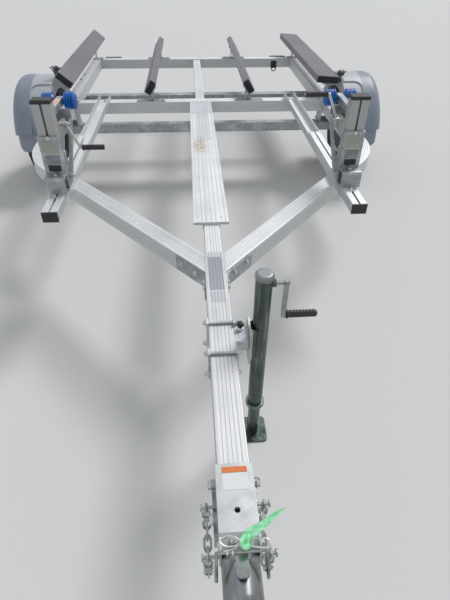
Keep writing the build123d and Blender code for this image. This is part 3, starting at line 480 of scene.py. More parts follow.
class Form:
    # a mesh under construction, in metres; aim() sets where the next shapes go
    def __init__(self, place=None):
        self.mesh = bmesh.new()
        self.place = place or Matrix.Identity(4)

    def aim(self, at, along=(0, 0, 1), side=(1, 0.3, 0.2)):
        z = Vector(along).normalized()
        x = Vector(side) - z * z.dot(Vector(side))
        x = x.normalized() if x.length > 1e-5 else z.orthogonal().normalized()
        turned = Matrix((x, z.cross(x), z)).transposed().to_4x4()
        self.place = Matrix.Translation(at) @ turned
        return self

    def home(self):
        self.place = Matrix.Identity(4)

    def ring(self, points):
        return [self.mesh.verts.new(self.place @ Vector(point)) for point in points]

    def circle(self, radius, height, count=20):
        turns = [math.tau * index / count for index in range(count)]
        return self.ring([(radius * math.cos(turn), radius * math.sin(turn), height) for turn in turns])

    def skin(self, rings, around=False):
        # quads between neighbouring closed rings; around joins the last to the first
        pairs = list(zip(rings, rings[1:])) + ([(rings[-1], rings[0])] if around else [])
        for low, high in pairs:
            count = len(low)
            for index in range(count):
                after = (index + 1) % count
                self.mesh.faces.new((low[index], low[after], high[after], high[index]))

    def closed(self, rings):
        self.skin(rings)
        self.mesh.faces.new(rings[0])
        self.mesh.faces.new(rings[-1])

    def turned(self, profile, count=20):
        # a turned solid from (radius, height) pairs
        self.closed([self.circle(radius, height, count) for radius, height in profile])

    def hollow(self, profile, count=32):
        # a ring turned from a closed outline of (radius, height) pairs
        self.skin([self.circle(radius, height, count) for radius, height in profile], around=True)

    def slab(self, outline, thick, edge=0.0006):
        # a plate from a convex outline, its upper edge eased
        count = len(outline)
        middle = Vector((sum(x for x, y in outline) / count, sum(y for x, y in outline) / count))
        rings = []
        for height, inset in ((0.0, 0.0), (thick - min(edge, thick * 0.5), 0.0), (thick, edge)):
            points = []
            for x, y in outline:
                away = Vector((x, y)) - middle
                near = middle + away * max(0.0, 1 - inset / max(away.length, 1e-6))
                points.append((near.x, near.y, height))
            rings.append(self.ring(points))
        self.closed(rings)

    def tube(self, path, radius, count=10, loop=False, flat=1.0):
        # a round bar along points, or a bead where radius is a list
        path = [Vector(point) for point in path]
        rings = []
        normal = None
        for index, point in enumerate(path):
            before = path[index - 1] if index or loop else point
            after = path[(index + 1) % len(path)] if index + 1 < len(path) or loop else point
            along = (after - before).normalized()
            normal = along.orthogonal() if normal is None else normal
            normal = (normal - along * normal.dot(along)).normalized()
            side = along.cross(normal)
            size = radius[index] if isinstance(radius, list) else radius
            ring = []
            for step in range(count):
                turn = math.tau * step / count
                offset = normal * (math.cos(turn) * size) + side * (math.sin(turn) * size * flat)
                ring.append(self.mesh.verts.new(self.place @ (point + offset)))
            rings.append(ring)
        if loop:
            self.skin(rings, around=True)
        else:
            self.closed(rings)

    def done(self, name, body, slot, finish=None, angle=36.0, replaces=None):
        # the finished object, riding on its body
        bmesh.ops.recalc_face_normals(self.mesh, faces=self.mesh.faces)
        data = bpy.data.meshes.new(name)
        self.mesh.to_mesh(data)
        self.mesh.free()
        data.shade_smooth()
        data.set_sharp_from_angle(angle=math.radians(angle))
        data.materials.append(finish or finishes[slot])
        piece = bpy.data.objects.new(name, data)
        bpy.context.scene.collection.objects.link(piece)
        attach(piece, body)
        if replaces:
            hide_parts(replaces)
        return piece


def rounded(width, height, radius, steps=4, spacing=1.0):
    # outline of a rectangle with round corners, its long edges divided
    corners = []
    for cornerX, cornerY, start in ((1, 1, 0), (-1, 1, 90), (-1, -1, 180), (1, -1, 270)):
        for step in range(steps + 1):
            turn = math.radians(start + 90 * step / steps)
            corners.append((cornerX * (width / 2 - radius) + radius * math.cos(turn),
                            cornerY * (height / 2 - radius) + radius * math.sin(turn)))
    points = []
    for index, point in enumerate(corners):
        after = corners[(index + 1) % len(corners)]
        gap = math.dist(point, after)
        parts = max(1, round(gap / spacing))
        for part in range(parts):
            share = part / parts
            points.append(tuple(near + (far - near) * share for near, far in zip(point, after)))
    return points


def smoothPath(points, steps=8):
    # a Catmull-Rom line through a few points
    points = [Vector(point) for point in points]
    ends = [points[0] * 2 - points[1]] + points + [points[-1] * 2 - points[-2]]
    path = []
    for index in range(1, len(ends) - 2):
        a, b, c, d = ends[index - 1:index + 3]
        for step in range(steps):
            t = step / steps
            path.append((b * 2 + (c - a) * t + (a * 2 - b * 5 + c * 4 - d) * t * t
                         + (b * 3 - a - c * 3 + d) * t * t * t) * 0.5)
    path.append(points[-1])
    return path


sides = {"left": -1, "right": 1}
up, down, ahead, astern = (0, 0, 1), (0, 0, -1), (0, -1, 0), (0, 1, 0)
railX = 0.9119
railZ = frameTop - boxSize / 2
seatStations = (3.123, 4.43)  # where the bunks are held
# place, height and tilt of each bunk's seats
bunkSeats = ((-0.9, 0.13, 40.0), (-0.345, 0.085, -57.0), (0.345, 0.085, 57.0), (0.9, 0.13, 4.0))
jackY = sta(0.75)
axle = {"x": 1.133, "y": sta(3.19), "z": 0.305}
stands = {"left": (-0.664, 1), "right": (0.638, -1)}  # each winch stand's place and the way inward
beamTop = frameTop + 0.047
postFront = sta(1.69) - 0.0254
winch = {"y": sta(1.83), "z": frameTop + 0.268, "pinionY": sta(1.786), "pinionZ": frameTop + 0.288}

boltLook = {
    "hexRadius": 0.0092, "head": 0.0062, "washer": 0.0118, "washerThick": 0.0016, "stub": 0.0075,
    "thread": 0.0048,
}


def addBolt(form, at, along, scale=1.0, stub=False):
    # washer, hexagon head and, on a nut, the end of the thread
    look = boltLook
    form.aim(at, along)
    washer, thick = look["washer"] * scale, look["washerThick"] * scale
    form.turned([(washer, 0.0), (washer, thick * 0.8), (washer - thick * 0.3, thick)], 20)
    hexRadius, top = look["hexRadius"] * scale, thick + look["head"] * scale
    form.turned([(hexRadius, thick), (hexRadius, top - 0.0009 * scale), (hexRadius * 0.88, top)], 6)
    if stub:
        thread, end = look["thread"] * scale, top + look["stub"] * scale
        profile = [(thread, top - 0.001)]
        for index in range(5):
            height = top + (end - top) * (index + 0.5) / 5
            profile += [(thread, height - 0.0005), (thread * 0.86, height)]
        profile.append((thread * 0.75, end))
        form.turned(profile, 12)
    else:
        form.turned([(hexRadius * 0.55, top - 0.0002), (hexRadius * 0.5, top + 0.0004)], 12)


def makeFrameBolts():
    form = Form()
    wallHeights = (railZ - 0.018, railZ + 0.018)
    strapHeights = (frameTop + 0.006, frameTop - boxSize - 0.006)
    for side in sides.values():
        out = (side, 0, 0)
        for reaches, stations, heights, along, scale in (
            ((0.0521,), (0.195, 0.275), (railZ,), out, 1.15),  # coupler
            ((0.0441,), (0.65, 0.78), strapHeights, out, 0.95),  # jack straps
            ((0.884, 0.94), (3.08, 3.2), (0.37675,), down, 1.0),  # axle hangers
            ((1.033,), (3.14,), (0.345,), out, 0.85),  # trailing arm
            ((0.95,), (3.123,), wallHeights, out, 1.0),  # front crossbeam
            ((0.925,), (4.4682,), wallHeights, astern, 1.0),  # rear crossbeam
            ((railX,), (3.545, 3.585), (0.4148,), down, 1.0),  # lower crossbeam
            ((0.97,), (2.955, 3.425), (railZ + 0.02,), up, 0.85),  # fender brackets
            ((0.0431,), (1.03, 1.0), (railZ + 0.012,), out, 0.85),  # tongue brackets
        ):
            for station, reach, z in itertools.product(stations, reaches, heights):
                addBolt(form, (side * reach, sta(station), z), along, scale)
        sine, cosine = 0.6481, 0.7615  # of the arms' angle
        for reach in (0.045, 0.125):
            at = (side * (0.0431 + sine * reach), sta(1.05615) + cosine * reach, railZ + 0.008)
            addBolt(form, at, (side * cosine, -sine, 0), 0.95)
    for (x, reach), station, way in itertools.product(
            ((-0.345, 0.086), (0.345, 0.086), (-0.9, 0.03), (0.9, 0.03)), seatStations, (-1, 1)):
        addBolt(form, (x + way * reach, sta(station), frameTop + 0.005), up, 0.85)
    for x, inward in stands.values():
        bolts = [
            (0, sta(3.098), frameTop + 0.003, up, 0.9),
            (0, sta(3.13), frameTop + 0.003, up, 0.9),
            (-0.004, sta(1.572), beamTop, up, 0.95, True),
            (0, sta(1.642), beamTop + 0.071, up, 0.85),
            (0, postFront - 0.009, beamTop + 0.225, ahead, 0.72),
            (-inward * 0.0441, sta(1.703), beamTop + 0.041, (-inward, 0, 0), 0.9),
            (inward * 0.0562, sta(1.703), beamTop + 0.041, (inward, 0, 0), 1.0, True),
        ]
        for way in (-1, 1):
            bolts += [
                (way * 0.0441, sta(1.696), beamTop + 0.15, (way, 0, 0), 0.9),
                (way * 0.022, sta(1.7194), frameTop + 0.218, astern, 0.6),
                (way * 0.022, sta(1.7194), frameTop + 0.296, astern, 0.6),
                (way * 0.0825, sta(1.955), frameTop + 0.335, (way, 0, 0), 0.8),
            ]
        for away, y, z, *rest in bolts:
            addBolt(form, (x + away, y, z), *rest)
    form.done("frame_bolts", "frame", "zinc_plate", boltFinish)


def makeBunkBolts():
    # coach screws up through each seat, and small screws in the plank
    form = Form()
    for x, height, tilt in bunkSeats:
        turn = math.radians(tilt)
        normal = Vector((math.sin(turn), 0, math.cos(turn)))
        across = Vector((math.cos(turn), 0, -math.sin(turn)))
        for station, way in itertools.product(seatStations, (-1, 1)):
            at = Vector((x, sta(station), frameTop + height)) - normal * 0.029 + across * way * 0.022
            addBolt(form, at, -normal, 0.75)
    for station, x in itertools.product((1.44, 3.05), (-0.05, 0.05)):
        form.aim((x, sta(station), plankTop - 0.0004))
        form.turned([(0.0062, 0.0), (0.006, 0.0012), (0.0042, 0.0024), (0.0016, 0.0028)], 16)
    form.done("bunk_bolts", "frame", "zinc_plate", boltFinish)


def makeWinchNuts():
    # the ends of each winch's two shafts turn with their own bodies
    for name, (x, inward) in stands.items():
        form = Form()
        for way in (-1, 1):
            addBolt(form, (x + way * 0.0395, winch["y"], winch["z"]), (way, 0, 0))
        form.done("drum_nuts_" + name, "winch_drum_" + name, "zinc_plate", boltFinish)
        form = Form()
        for way, reach, scale, stub in ((-inward, 0.0395, 0.75, False), (inward, 0.0588, 0.8, True)):
            addBolt(form, (x + way * reach, winch["pinionY"], winch["pinionZ"]), (way, 0, 0), scale, stub)
        form.done("crank_nuts_" + name, "winch_crank_" + name, "zinc_plate", boltFinish)


pawlLook = {
    "pivot": (0.006, 0.018), "tip": (0.014, 0.01), "eye": 0.007, "faces": (0.0232, 0.0262), "pin": 0.0034,
    "nose": ((0.75, 0.005), (1.0, 0.0016), (1.0, -0.0016), (0.8, -0.0045)),
}


def makeWinchPawls():
    # the pawl and its pivot between the pinion and the cheek
    look = pawlLook
    for name, (x, inward) in stands.items():
        form = Form()
        y, z = winch["y"] + look["pivot"][0], winch["z"] + look["pivot"][1]
        reach = Vector((winch["pinionY"] + look["tip"][0] - y, winch["pinionZ"] + look["tip"][1] - z))
        wide = Vector((-reach.y, reach.x)).normalized()
        spots = []
        for step in range(9):
            turn = math.radians(-90 + 180 * step / 8)
            spots.append((wide * math.sin(turn) - reach.normalized() * math.cos(turn)) * look["eye"])
        spots += [reach * along + wide * out for along, out in look["nose"]]
        form.closed([form.ring([(x + inward * across, y + spot.x, z + spot.y) for spot in spots])
                     for across in look["faces"]])
        form.aim((x + inward * 0.0225, y, z), (inward, 0, 0))
        form.turned([(look["pin"], 0.0), (look["pin"], 0.008)], 14)
        addBolt(form, (x + inward * 0.034, y, z), (inward, 0, 0), 0.55)
        form.done("winch_pawl_" + name, "frame", "zinc_plate", boltFinish)


tyreLook = {
    "blocks": 54, "grooveDepth": 0.0075, "notchDepth": 0.006, "drop": 0.0022, "crown": 0.3048,
    "stops": [0.0, 0.03, 0.16, 0.19, 0.5, 0.53, 0.66, 0.69],
    "wall": [(0.1655, 0.05), (0.1662, 0.063), (0.1825, 0.0638), (0.1875, 0.07), (0.193, 0.0762),
             (0.203, 0.0815), (0.21, 0.084), (0.2106, 0.085), (0.213, 0.085), (0.2136, 0.0848),
             (0.223, 0.087), (0.233, 0.0883), (0.2342, 0.089), (0.238, 0.089), (0.2392, 0.088),
             (0.25, 0.087), (0.262, 0.085), (0.274, 0.0824), (0.285, 0.0794), (0.295, 0.0748)],
    "half": [(0.01, 0, 0), (0.0108, 1, 0), (0.0157, 1, 0), (0.0165, 0, 1), (0.027, 0, 1), (0.0375, 0, 1),
             (0.0383, 1, 1), (0.0432, 1, 1), (0.044, 0, 0), (0.056, 0, 0), (0.0655, 0, 0)],
}


def makeTyre(name, side):
    # three ribs a side cut into blocks, four grooves, raised rings on the walls
    look = tyreLook
    crown = [(-across, groove, 1 - phase) for across, groove, phase in reversed(look["half"])]
    crown += [(0.0, 0, 0)] + look["half"]
    form = Form()
    form.aim((side * axle["x"], axle["y"], axle["z"]), (1, 0, 0), (0, 1, 0))
    rings = []
    for block in range(look["blocks"]):
        for part, stop in enumerate(look["stops"]):
            turn = math.tau * (block + stop) / look["blocks"]
            cut = {0: part in (1, 2), 1: part in (5, 6)}
            section = []
            for way in (-1, 1):
                wall = [(radius, way * (across + (0.0012 if radius > 0.28 and not cut[way < 0] else 0.0)))
                        for radius, across in look["wall"]]
                section.append(wall)
            tread = []
            for across, groove, phase in crown:
                notch = look["notchDepth"] if cut[phase] and abs(across) > 0.0105 else 0.0
                depth = max(groove * look["grooveDepth"], notch)
                tread.append((look["crown"] - look["drop"] * (across / 0.066) ** 2 - depth, across))
            outline = section[0] + tread + section[1][::-1]
            rings.append(form.ring([(r * math.cos(turn), r * math.sin(turn), a) for r, a in outline]))
    form.skin(rings, around=True)
    form.done("tyre_tread_" + name, "wheel_" + name, "tyre_rubber", angle=32, replaces="tyre_" + name)


wheelLook = {
    "studCircle": 0.05715, "nutSeat": 0.0208, "capStart": 0.0615,
    "washer": [(0.0128, 0.0), (0.0128, 0.0018), (0.0112, 0.0032)],
    "nut": [(0.0108, 0.0025), (0.0118, 0.004), (0.0118, 0.015), (0.0098, 0.0176)],
    "cap": [(0.0236, -0.004), (0.0246, -0.003), (0.0246, 0.0), (0.0236, 0.001), (0.0234, 0.006),
            (0.0215, 0.0112), (0.015, 0.015), (0.006, 0.0158), (0.0052, 0.018), (0.003, 0.0188)],
    "valve": [(0.0062, -0.014), (0.0058, 0.0), (0.0046, 0.004), (0.004, 0.018), (0.0046, 0.019),
              (0.0046, 0.027), (0.0036, 0.0285)],
}


def makeWheelParts(name, side):
    # wheel nuts, bearing cap and valve
    look = wheelLook
    x, y, z = side * axle["x"], axle["y"], axle["z"]
    out = (side, 0, 0)
    form = Form()
    for index in range(5):
        turn = math.tau * index / 5
        away, drop = math.sin(turn) * look["studCircle"], math.cos(turn) * look["studCircle"]
        form.aim((x + side * look["nutSeat"], y + away, z - drop), out, (0, 1, 0.2))
        form.turned(look["washer"], 18)
        form.turned(look["nut"], 6)
    form.aim((x + side * look["capStart"], y, z), out, astern).turned(look["cap"], 32)
    form.done("wheel_nuts_" + name, "wheel_" + name, "zinc_plate", boltFinish)
    form = Form()
    form.aim((x + side * 0.03, y + 0.02, z + 0.139), (side, 0, 0.25)).turned(look["valve"], 14)
    form.done("valve_" + name, "wheel_" + name, "tyre_rubber", finishes["black_plastic"])


bunkLook = {"thick": 0.048, "corner": 0.0085, "rows": 64, "lump": 0.0009, "rear": 4.688, "stapleGap": 0.055}
bunkTable = {
    "bunk_outer_left": {"x": -0.9153, "height": 0.1429, "width": 0.12, "tilt": 40.0, "front": 3.1},
    "bunk_inner_left": {"x": -0.345, "height": 0.085, "width": 0.097, "tilt": -57.0, "front": 3.12},
    "bunk_inner_right": {"x": 0.345, "height": 0.085, "width": 0.097, "tilt": 57.0, "front": 3.12},
    "bunk_outer_right": {"x": 0.9, "height": 0.13, "width": 0.16, "tilt": 4.0, "front": 3.1},
}


def makeBunk(name, place):
    # a board wrapped in carpet, a little slack between its staples and tucked at both ends
    look = bunkLook
    chance = random.Random(name)
    width, span = place["width"], look["rear"] - place["front"]
    base = Matrix.Translation((place["x"], sta(place["front"]), frameTop + place["height"]))
    base = base @ Matrix.Rotation(math.radians(place["tilt"]), 4, "Y")
    phases = [chance.uniform(0, 6.28) for index in range(4)]
    section = rounded(width, look["thick"], look["corner"], 5, 0.009)
    stops = [(0.0, 1.0), (0.0015, 0.35), (0.005, 0.0)]
    stops += [(0.01 + (span - 0.02) * index / look["rows"], 0.0) for index in range(look["rows"] + 1)]
    stops += [(span - 0.005, 0.0), (span - 0.0015, 0.35), (span, 1.0)]
    form = Form(base)
    rings = []
    for along, tuck in stops:
        slack = math.sin(along * 19 + phases[0]) * 0.5 + math.sin(along * 43 + phases[1]) * 0.5
        ring = []
        for px, py in section:
            away = Vector((px, py)).normalized()
            cross = math.sin(px * 90 + phases[2] + along * 3) * 0.5
            puff = look["lump"] * (slack * 0.6 + cross + 0.5) * (1.0 if py > 0 else 0.4) - tuck * 0.004
            ring.append((px + away.x * puff, along, py + away.y * puff))
        rings.append(form.ring(ring))
    form.closed(rings)
    form.done(name + "_carpet", "frame", "bunk_carpet", angle=60, replaces=name)
    form = Form(base)
    low, half = -look["thick"] / 2, 0.0048
    for edge in (-1, 1):
        for index in range(int((span - 0.04) / look["stapleGap"])):
            y = 0.03 + index * look["stapleGap"] + chance.uniform(-0.004, 0.004)
            x = edge * (width / 2 - 0.022) + chance.uniform(-0.002, 0.002)
            staple = ((-half, 0.0004), (-half, -0.0009), (half, -0.0009), (half, 0.0004))
            form.tube([(x + across, y, low + rise) for across, rise in staple], 0.0006, 5)
    form.done(name + "_staples", "frame", "zinc_plate", boltFinish)
    # the end pieces, black as painted shade
    form = Form(base)
    outline = rounded(width - 0.012, look["thick"] - 0.01, 0.005, 3)
    for end, way in ((0.0, -1), (span, 1)):
        form.closed([form.ring([(px * wide, end + way * out, py * tall) for px, py in outline])
                     for out, wide, tall in ((-0.001, 1, 1), (0.001, 1, 1), (0.0018, 0.985, 0.95))])
    form.done(name + "_ends", "frame", "bunk_carpet", bunkEndShade, angle=50)


tieLook = {
    "length": 0.084, "width": 0.0135, "thick": 0.0026, "roots": ((-1, -0.96, 0.17), (1, 0.986, 0.128)),
    "ways": ((0.4, 0.3, 0.85), (0.22, 0.4, 0.9), (0.05, 0.5, 0.92), (-0.1, 0.6, 0.85), (-0.22, 0.72, 0.7)),
}


def makeTies():
    # a fan of black ties standing at the front outboard corner of each outer bunk
    look = tieLook
    form = Form()
    for (side, x, height), index in itertools.product(look["roots"], range(5)):
        out, back, lean = look["ways"][index]
        along = Vector((side * out, back, lean)).normalized()
        start = Vector((x, sta(3.112), frameTop + height))
        start += Vector((side * 0.002 * (index % 2), 0.006 * index, -0.012))
        bend = Vector((side * 0.01, 0.004, -0.012))
        path = [start + along * look["length"] * share + bend * sag
                for share, sag in ((0, 0), (0.35, 0), (0.7, 0.25), (1, 1))]
        wide = Vector((along.y, -along.x, 0)).normalized()
        form.home()
        rings = []
        spots = smoothPath(path, 5)
        for step, spot in enumerate(spots):
            share = step / (len(spots) - 1)
            half = wide * (look["width"] * (0.5 if share < 0.85 else 0.5 - (share - 0.85) * 2))
            lift = along.cross(wide) * look["thick"] / 2
            corners = ((half, lift), (-half, lift), (-half, -lift), (half, -lift))
            rings.append(form.ring([spot + out + rise for out, rise in corners]))
        form.closed(rings)
        form.aim(start - along * 0.001, wide)
        form.slab([(-0.0045, -0.0035), (0.0045, -0.0035), (0.0045, 0.0035), (-0.0045, 0.0035)], 0.0052)
    form.done("bunk_ties", "frame", "black_plastic")


strapLook = {"shaft": 0.0092, "turnStep": 0.00092, "turns": 19, "near": -0.0212, "far": 0.0052}


def makeStrap(name, x, inward):
    # webbing wound on the spool, each turn a little out of line, its tail folded under
    look = strapLook
    chance = random.Random("strap " + name)
    form = Form()
    form.aim((x, winch["y"], winch["z"]), (inward, 0, 0), astern)
    near, far = [], []
    for index in range(look["turns"]):
        jitter = chance.uniform(-0.0005, 0.0005)
        radius = look["shaft"] + index * look["turnStep"]
        for edge, start, way in ((near, look["near"], 1), (far, look["far"], -1)):
            edge += [(radius + 0.0001, start + way * jitter),
                     (radius + look["turnStep"] * 0.75, start + way * jitter),
                     (radius + look["turnStep"] * 0.9, start + way * (jitter + 0.0008))]
    form.hollow(near + far[::-1], 56)
    body = "winch_drum_" + name
    form.done("strap_roll_" + name, body, "strap_webbing", angle=60, replaces="winch_strap_" + name)
    form = Form()
    outer = look["shaft"] + look["turns"] * look["turnStep"]
    rings = []
    for step in range(17):
        turn = math.radians(190 + step * 9)
        radius = outer - 0.0004 + 0.0008 * min(1.0, step / 3)
        ring = []
        for edge, lift in (("near", 0.0), ("far", 0.0), ("far", 0.0011), ("near", 0.0011)):
            y = winch["y"] + math.cos(turn) * (radius + lift)
            z = winch["z"] + math.sin(turn) * (radius + lift)
            ring.append((x + inward * look[edge], y, z))
        rings.append(form.ring(ring))
    form.closed(rings)
    form.done("strap_end_" + name, body, "strap_webbing", angle=60)


gripLook = {
    "bore": 0.0061, "flange": 0.0022, "ridges": 7, "plain": 0.026,
    "throw": 0.105, "turns": {"left": 0.0, "right": 168.0},  # of the winches' crank arms
    "stop": [(0.0062, -0.001), (0.0076, 0.0), (0.0076, 0.0012), (0.0048, 0.0026)],
    "hub": [(0.0062, -0.001), (0.0072, 0.0), (0.006, 0.0022)],
}


def addGrip(name, body, replaces, at, along, radius, span):
    # a moulded grip: flanged ends and shallow finger ridges
    look = gripLook
    bore, flange, pitch = look["bore"], radius + look["flange"], (span - look["plain"]) / look["ridges"]
    profile = [(bore, 0.0), (radius * 0.9, 0.0), (flange, 0.002), (flange, 0.006), (radius - 0.001, 0.01)]
    for index in range(look["ridges"]):
        start = 0.012 + pitch * index
        for out, share in ((-0.0012, 0), (0.0002, 0.25), (0.0002, 0.7), (-0.0012, 0.95)):
            profile.append((radius + out, start + pitch * share))
    profile += [(radius, span - 0.01), (radius, span - 0.004), (radius * 0.82, span - 0.0008), (bore, span)]
    form = Form()
    form.aim(at, along).hollow(profile, 28)
    form.done(name, body, "black_plastic", replaces=replaces)


def makeGrips():
    look = gripLook
    for name, (x, inward) in stands.items():
        turn = math.radians(look["turns"][name])
        at = (x + inward * 0.102, winch["pinionY"] + look["throw"] * math.sin(turn),
              winch["pinionZ"] - look["throw"] * math.cos(turn))
        addGrip("crank_grip_" + name, "winch_crank_" + name, "winch_grip_" + name,
                at, (inward, 0, 0), 0.012, 0.1)
    out, gripZ = (1, 0, 0), frameTop + 0.057
    addGrip("jack_crank_grip", "jack_crank", "jack_grip", (0.1944, jackY, gripZ), out, 0.0117, 0.094)
    form = Form()
    form.aim((0.2888, jackY, gripZ), out).turned(look["stop"], 18)
    form.aim((0.1934, jackY, gripZ + 0.12), out).turned(look["hub"], 18)
    form.done("jack_crank_ends", "jack_crank", "jack_zinc")


# on each winch post: name, height over the frame, width, length, corner, film
postLabels = (
    ("upper_label", 0.234, 0.07, 0.05, 0.002, "green"), ("line", 0.204, 0.066, 0.005, 0.001, "lime"),
    # the lowest is a plain black patch
    ("lower_label", 0.179, 0.062, 0.04, 0.002, "slate"), ("dark_label", 0.1425, 0.054, 0.026, 0.002, "black"),
)


def makeLabels():
    # blank films and plates, none with words
    labels = [
        ("coupler_strip", 0.001, sta(0.2875), frameTop + 0.003, up, 0.058, 0.014, 0.001, "orange"),
        ("coupler_label", 0.001, sta(0.259), frameTop + 0.003, up, 0.058, 0.04, 0.002, "pale"),
    ]
    for name, (x, _) in stands.items():
        for kind, height, *rest in postLabels:
            at = (x, postFront - 0.005, frameTop + height)
            labels.append((f"post_{kind}_{name}", *at, ahead, *rest))
    labels += [
        ("arm_label_left", -0.664, sta(1.884), frameTop + 0.35, up, 0.026, 0.116, 0.003, "pink"),
        ("arm_label_right", 0.638, sta(1.79), frameTop + 0.35, up, 0.026, 0.05, 0.003, "brown"),
    ]
    for name, x, y, z, along, wide, tall, corner, film in labels:
        form = Form()
        form.aim((x, y, z), along, (1, 0, 0)).slab(rounded(wide, tall, corner, 3), 0.0007, 0.0003)
        form.done(name, "frame", "black_plastic", films[film])


def shifted(points, origin):
    return [tuple(own + base for own, base in zip(point, origin)) for point in points]


ribbonLook = {
    "knot": (0.009, sta(0.1245), frameTop + 0.032), "turn": 0.0072, "wide": 0.015, "keep": 0.25,
    "lobe": [(-0.003, -0.001, 0.007), (-0.009, -0.01, 0.01), (-0.006, -0.017, 0.006), (0.003, -0.015, 0.002),
             (0.005, -0.005, 0.004)],
    "tail": [(0.002, 0.0, 0.004), (0.014, 0.007, 0.009), (0.034, 0.018, 0.015), (0.06, 0.032, 0.018),
             (0.0853, 0.0467, 0.015)],
}


def makeRibbon():
    # marking tape knotted on the clip's wire; its tail ends in a point and rides on the latch
    look = ribbonLook
    knot = look["knot"]
    x, y, z = knot
    form = Form()
    for start, grow, shift in ((0.0, 0.0, 0.0), (1.2, 0.001, 0.0052), (2.4, -0.0004, -0.0046)):
        loop = []
        for step in range(20):
            turn, radius = start + math.tau * step / 20, look["turn"] + grow
            loop.append((x + shift + 0.0014 * math.sin(turn * 2), y + math.cos(turn) * radius,
                         z + math.sin(turn) * radius))
        form.tube(loop, 0.0024, 8, True, 1.6)
    form.tube(smoothPath(shifted(look["lobe"], knot), 5), 0.0036, 8, False, 1.7)
    form.done("latch_ribbon", "coupler_latch", "strap_webbing", ribbonFinish, angle=60)
    form = Form()
    tail = smoothPath(shifted(look["tail"], knot), 6)
    rings = []
    for index, point in enumerate(tail):
        share = index / (len(tail) - 1)
        wide = (0.005 + look["wide"] * math.sin(min(1.0, share * 3.4) * 1.5)) * (1 - share) ** 1.1 + 0.0006
        side = Vector((0.42, -0.86, 0.15 + 0.4 * math.sin(share * 5))).normalized()
        fold = 0.0035 * math.sin(share * 9)
        ring = []
        for across, lift in ((-1, 0.0), (-0.5, 0.9), (0, 0.1), (0.5, 0.9), (1, 0.0)):
            rise = fold * abs(across) + 0.0018 * lift * (1 - share)
            ring.append(point + side * wide * across + Vector((0, 0, rise)))
        lower = [spot - Vector((0, 0, 0.0006)) for spot in reversed(ring)]
        rings.append(form.ring(ring + lower))
    form.closed(rings)
    piece = form.done("latch_ribbon_tail", "coupler_latch", "strap_webbing", ribbonFinish, angle=60)
    y - 0.002
    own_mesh(piece)


clipLook = {
    "at": (0.0375, sta(0.1165), frameTop + 0.027), "width": 0.034, "depth": 0.0165, "wire": 0.0019,
    "hook": [(0.017, 0, 0), (0.02, -0.008, -0.004), (0.018, -0.01, -0.012), (0.012, -0.009, -0.015)],
    # the spring wire's points: across, station, height over the frame
    "link": [(0.009, 0.109, 0.014), (0.006, 0.118, 0.022), (0.009, 0.126, 0.03), (0.017, 0.124, 0.029),
             (0.024, 0.118, 0.027)],
    "turns": [(-0.047, 0.11, 0.017), (-0.044, 0.124, 0.025), (-0.03, 0.1325, 0.028), (-0.012, 0.13, 0.029),
              (-0.002, 0.12, 0.027), (-0.014, 0.114, 0.025), (-0.034, 0.116, 0.026), (-0.042, 0.126, 0.028),
              (-0.028, 0.133, 0.026), (-0.01, 0.1255, 0.025), (-0.008, 0.115, 0.022), (-0.024, 0.1095, 0.019),
              (-0.036, 0.11, 0.015)],
}


def makeLatchWires():
    # the bail's safety clip and the loose turns of its spring wire
    look = clipLook
    x, y, z = look["at"]
    form = Form()
    path = [(x + px * 0.97 + py * 0.25, y + py * 0.97 - px * 0.12, z + py * 0.12)
            for px, py in rounded(look["width"], look["depth"], 0.0062, 4)]
    form.tube(path, look["wire"], 10, True)
    form.tube(smoothPath(shifted(look["hook"], look["at"]), 5), look["wire"], 10)
    for key, steps, radius in (("link", 6, 0.0017), ("turns", 7, 0.0015)):
        path = [(across, sta(station), frameTop + height) for across, station, height in look[key]]
        form.tube(smoothPath(path, steps), radius, 9)
    for across in (-0.03, -0.019):
        form.aim((across, sta(0.108), frameTop + 0.0119), (1, 0, 0))
        form.hollow([(0.0036, 0.0), (0.0068, 0.0), (0.0074, 0.0014), (0.0068, 0.003), (0.0036, 0.003)], 20)
    form.done("latch_wires", "coupler_latch", "zinc_plate", brightFinish)


knobLook = {
    "at": (0.06, sta(0.757), frameTop - 0.0021),
    "collar": [(0.01, 0.0), (0.01, 0.003), (0.0086, 0.0044), (0.0062, 0.0048), (0.0062, 0.009)],
    "knob": [(0.0064, 0.008), (0.009, 0.0096), (0.0104, 0.014), (0.0104, 0.02), (0.009, 0.0245),
             (0.005, 0.0268), (0.0012, 0.0272)],
}


def makeJackKnob():
    # pull knob of the swivel's locking pin, with its bright collar
    for part, slot, finish in (("collar", "zinc_plate", brightFinish), ("knob", "black_plastic", None)):
        form = Form()
        form.aim(knobLook["at"]).turned(knobLook[part], 24)
        form.done("jack_pin_" + part, "frame", slot, finish)


capLook = {
    "plugs": ((-0.936, 3.709), (-0.934, 3.865), (0.936, 3.844)),
    "plug": [(0.0092, 0.0), (0.0092, 0.001), (0.0066, 0.0018), (0.0052, 0.0006), (0.0012, 0.0004)],
    # the open ends: station, width, height and middle of the bar
    "ends": ((4.4301, boxSize, boxSize, railZ), (3.565, 0.07, 0.044, 0.4368)),
    # a lid and the spigot behind it: start, how much smaller, corner, thickness, eased edge
    "slabs": ((0.95, 0.001, 0.004, 0.0032, 0.0016), (0.938, 0.0085, 0.003, 0.0122, 0.0006)),
}


def makeCaps():
    # rubber hole plugs on the rails and moulded caps in the crossbeams' open ends
    look = capLook
    form = Form()
    for x, station in look["plugs"]:
        form.aim((x, sta(station), frameTop - 0.0002)).turned(look["plug"], 20)
    for side, end, slab in itertools.product(sides.values(), look["ends"], look["slabs"]):
        station, wide, tall, z = end
        x, inset, corner, thick, edge = slab
        form.aim((side * x, sta(station), z), (side, 0, 0), astern)
        form.slab(rounded(wide - inset, tall - inset, corner, 3), thick, edge)
    form.done("end_caps", "frame", "black_plastic")


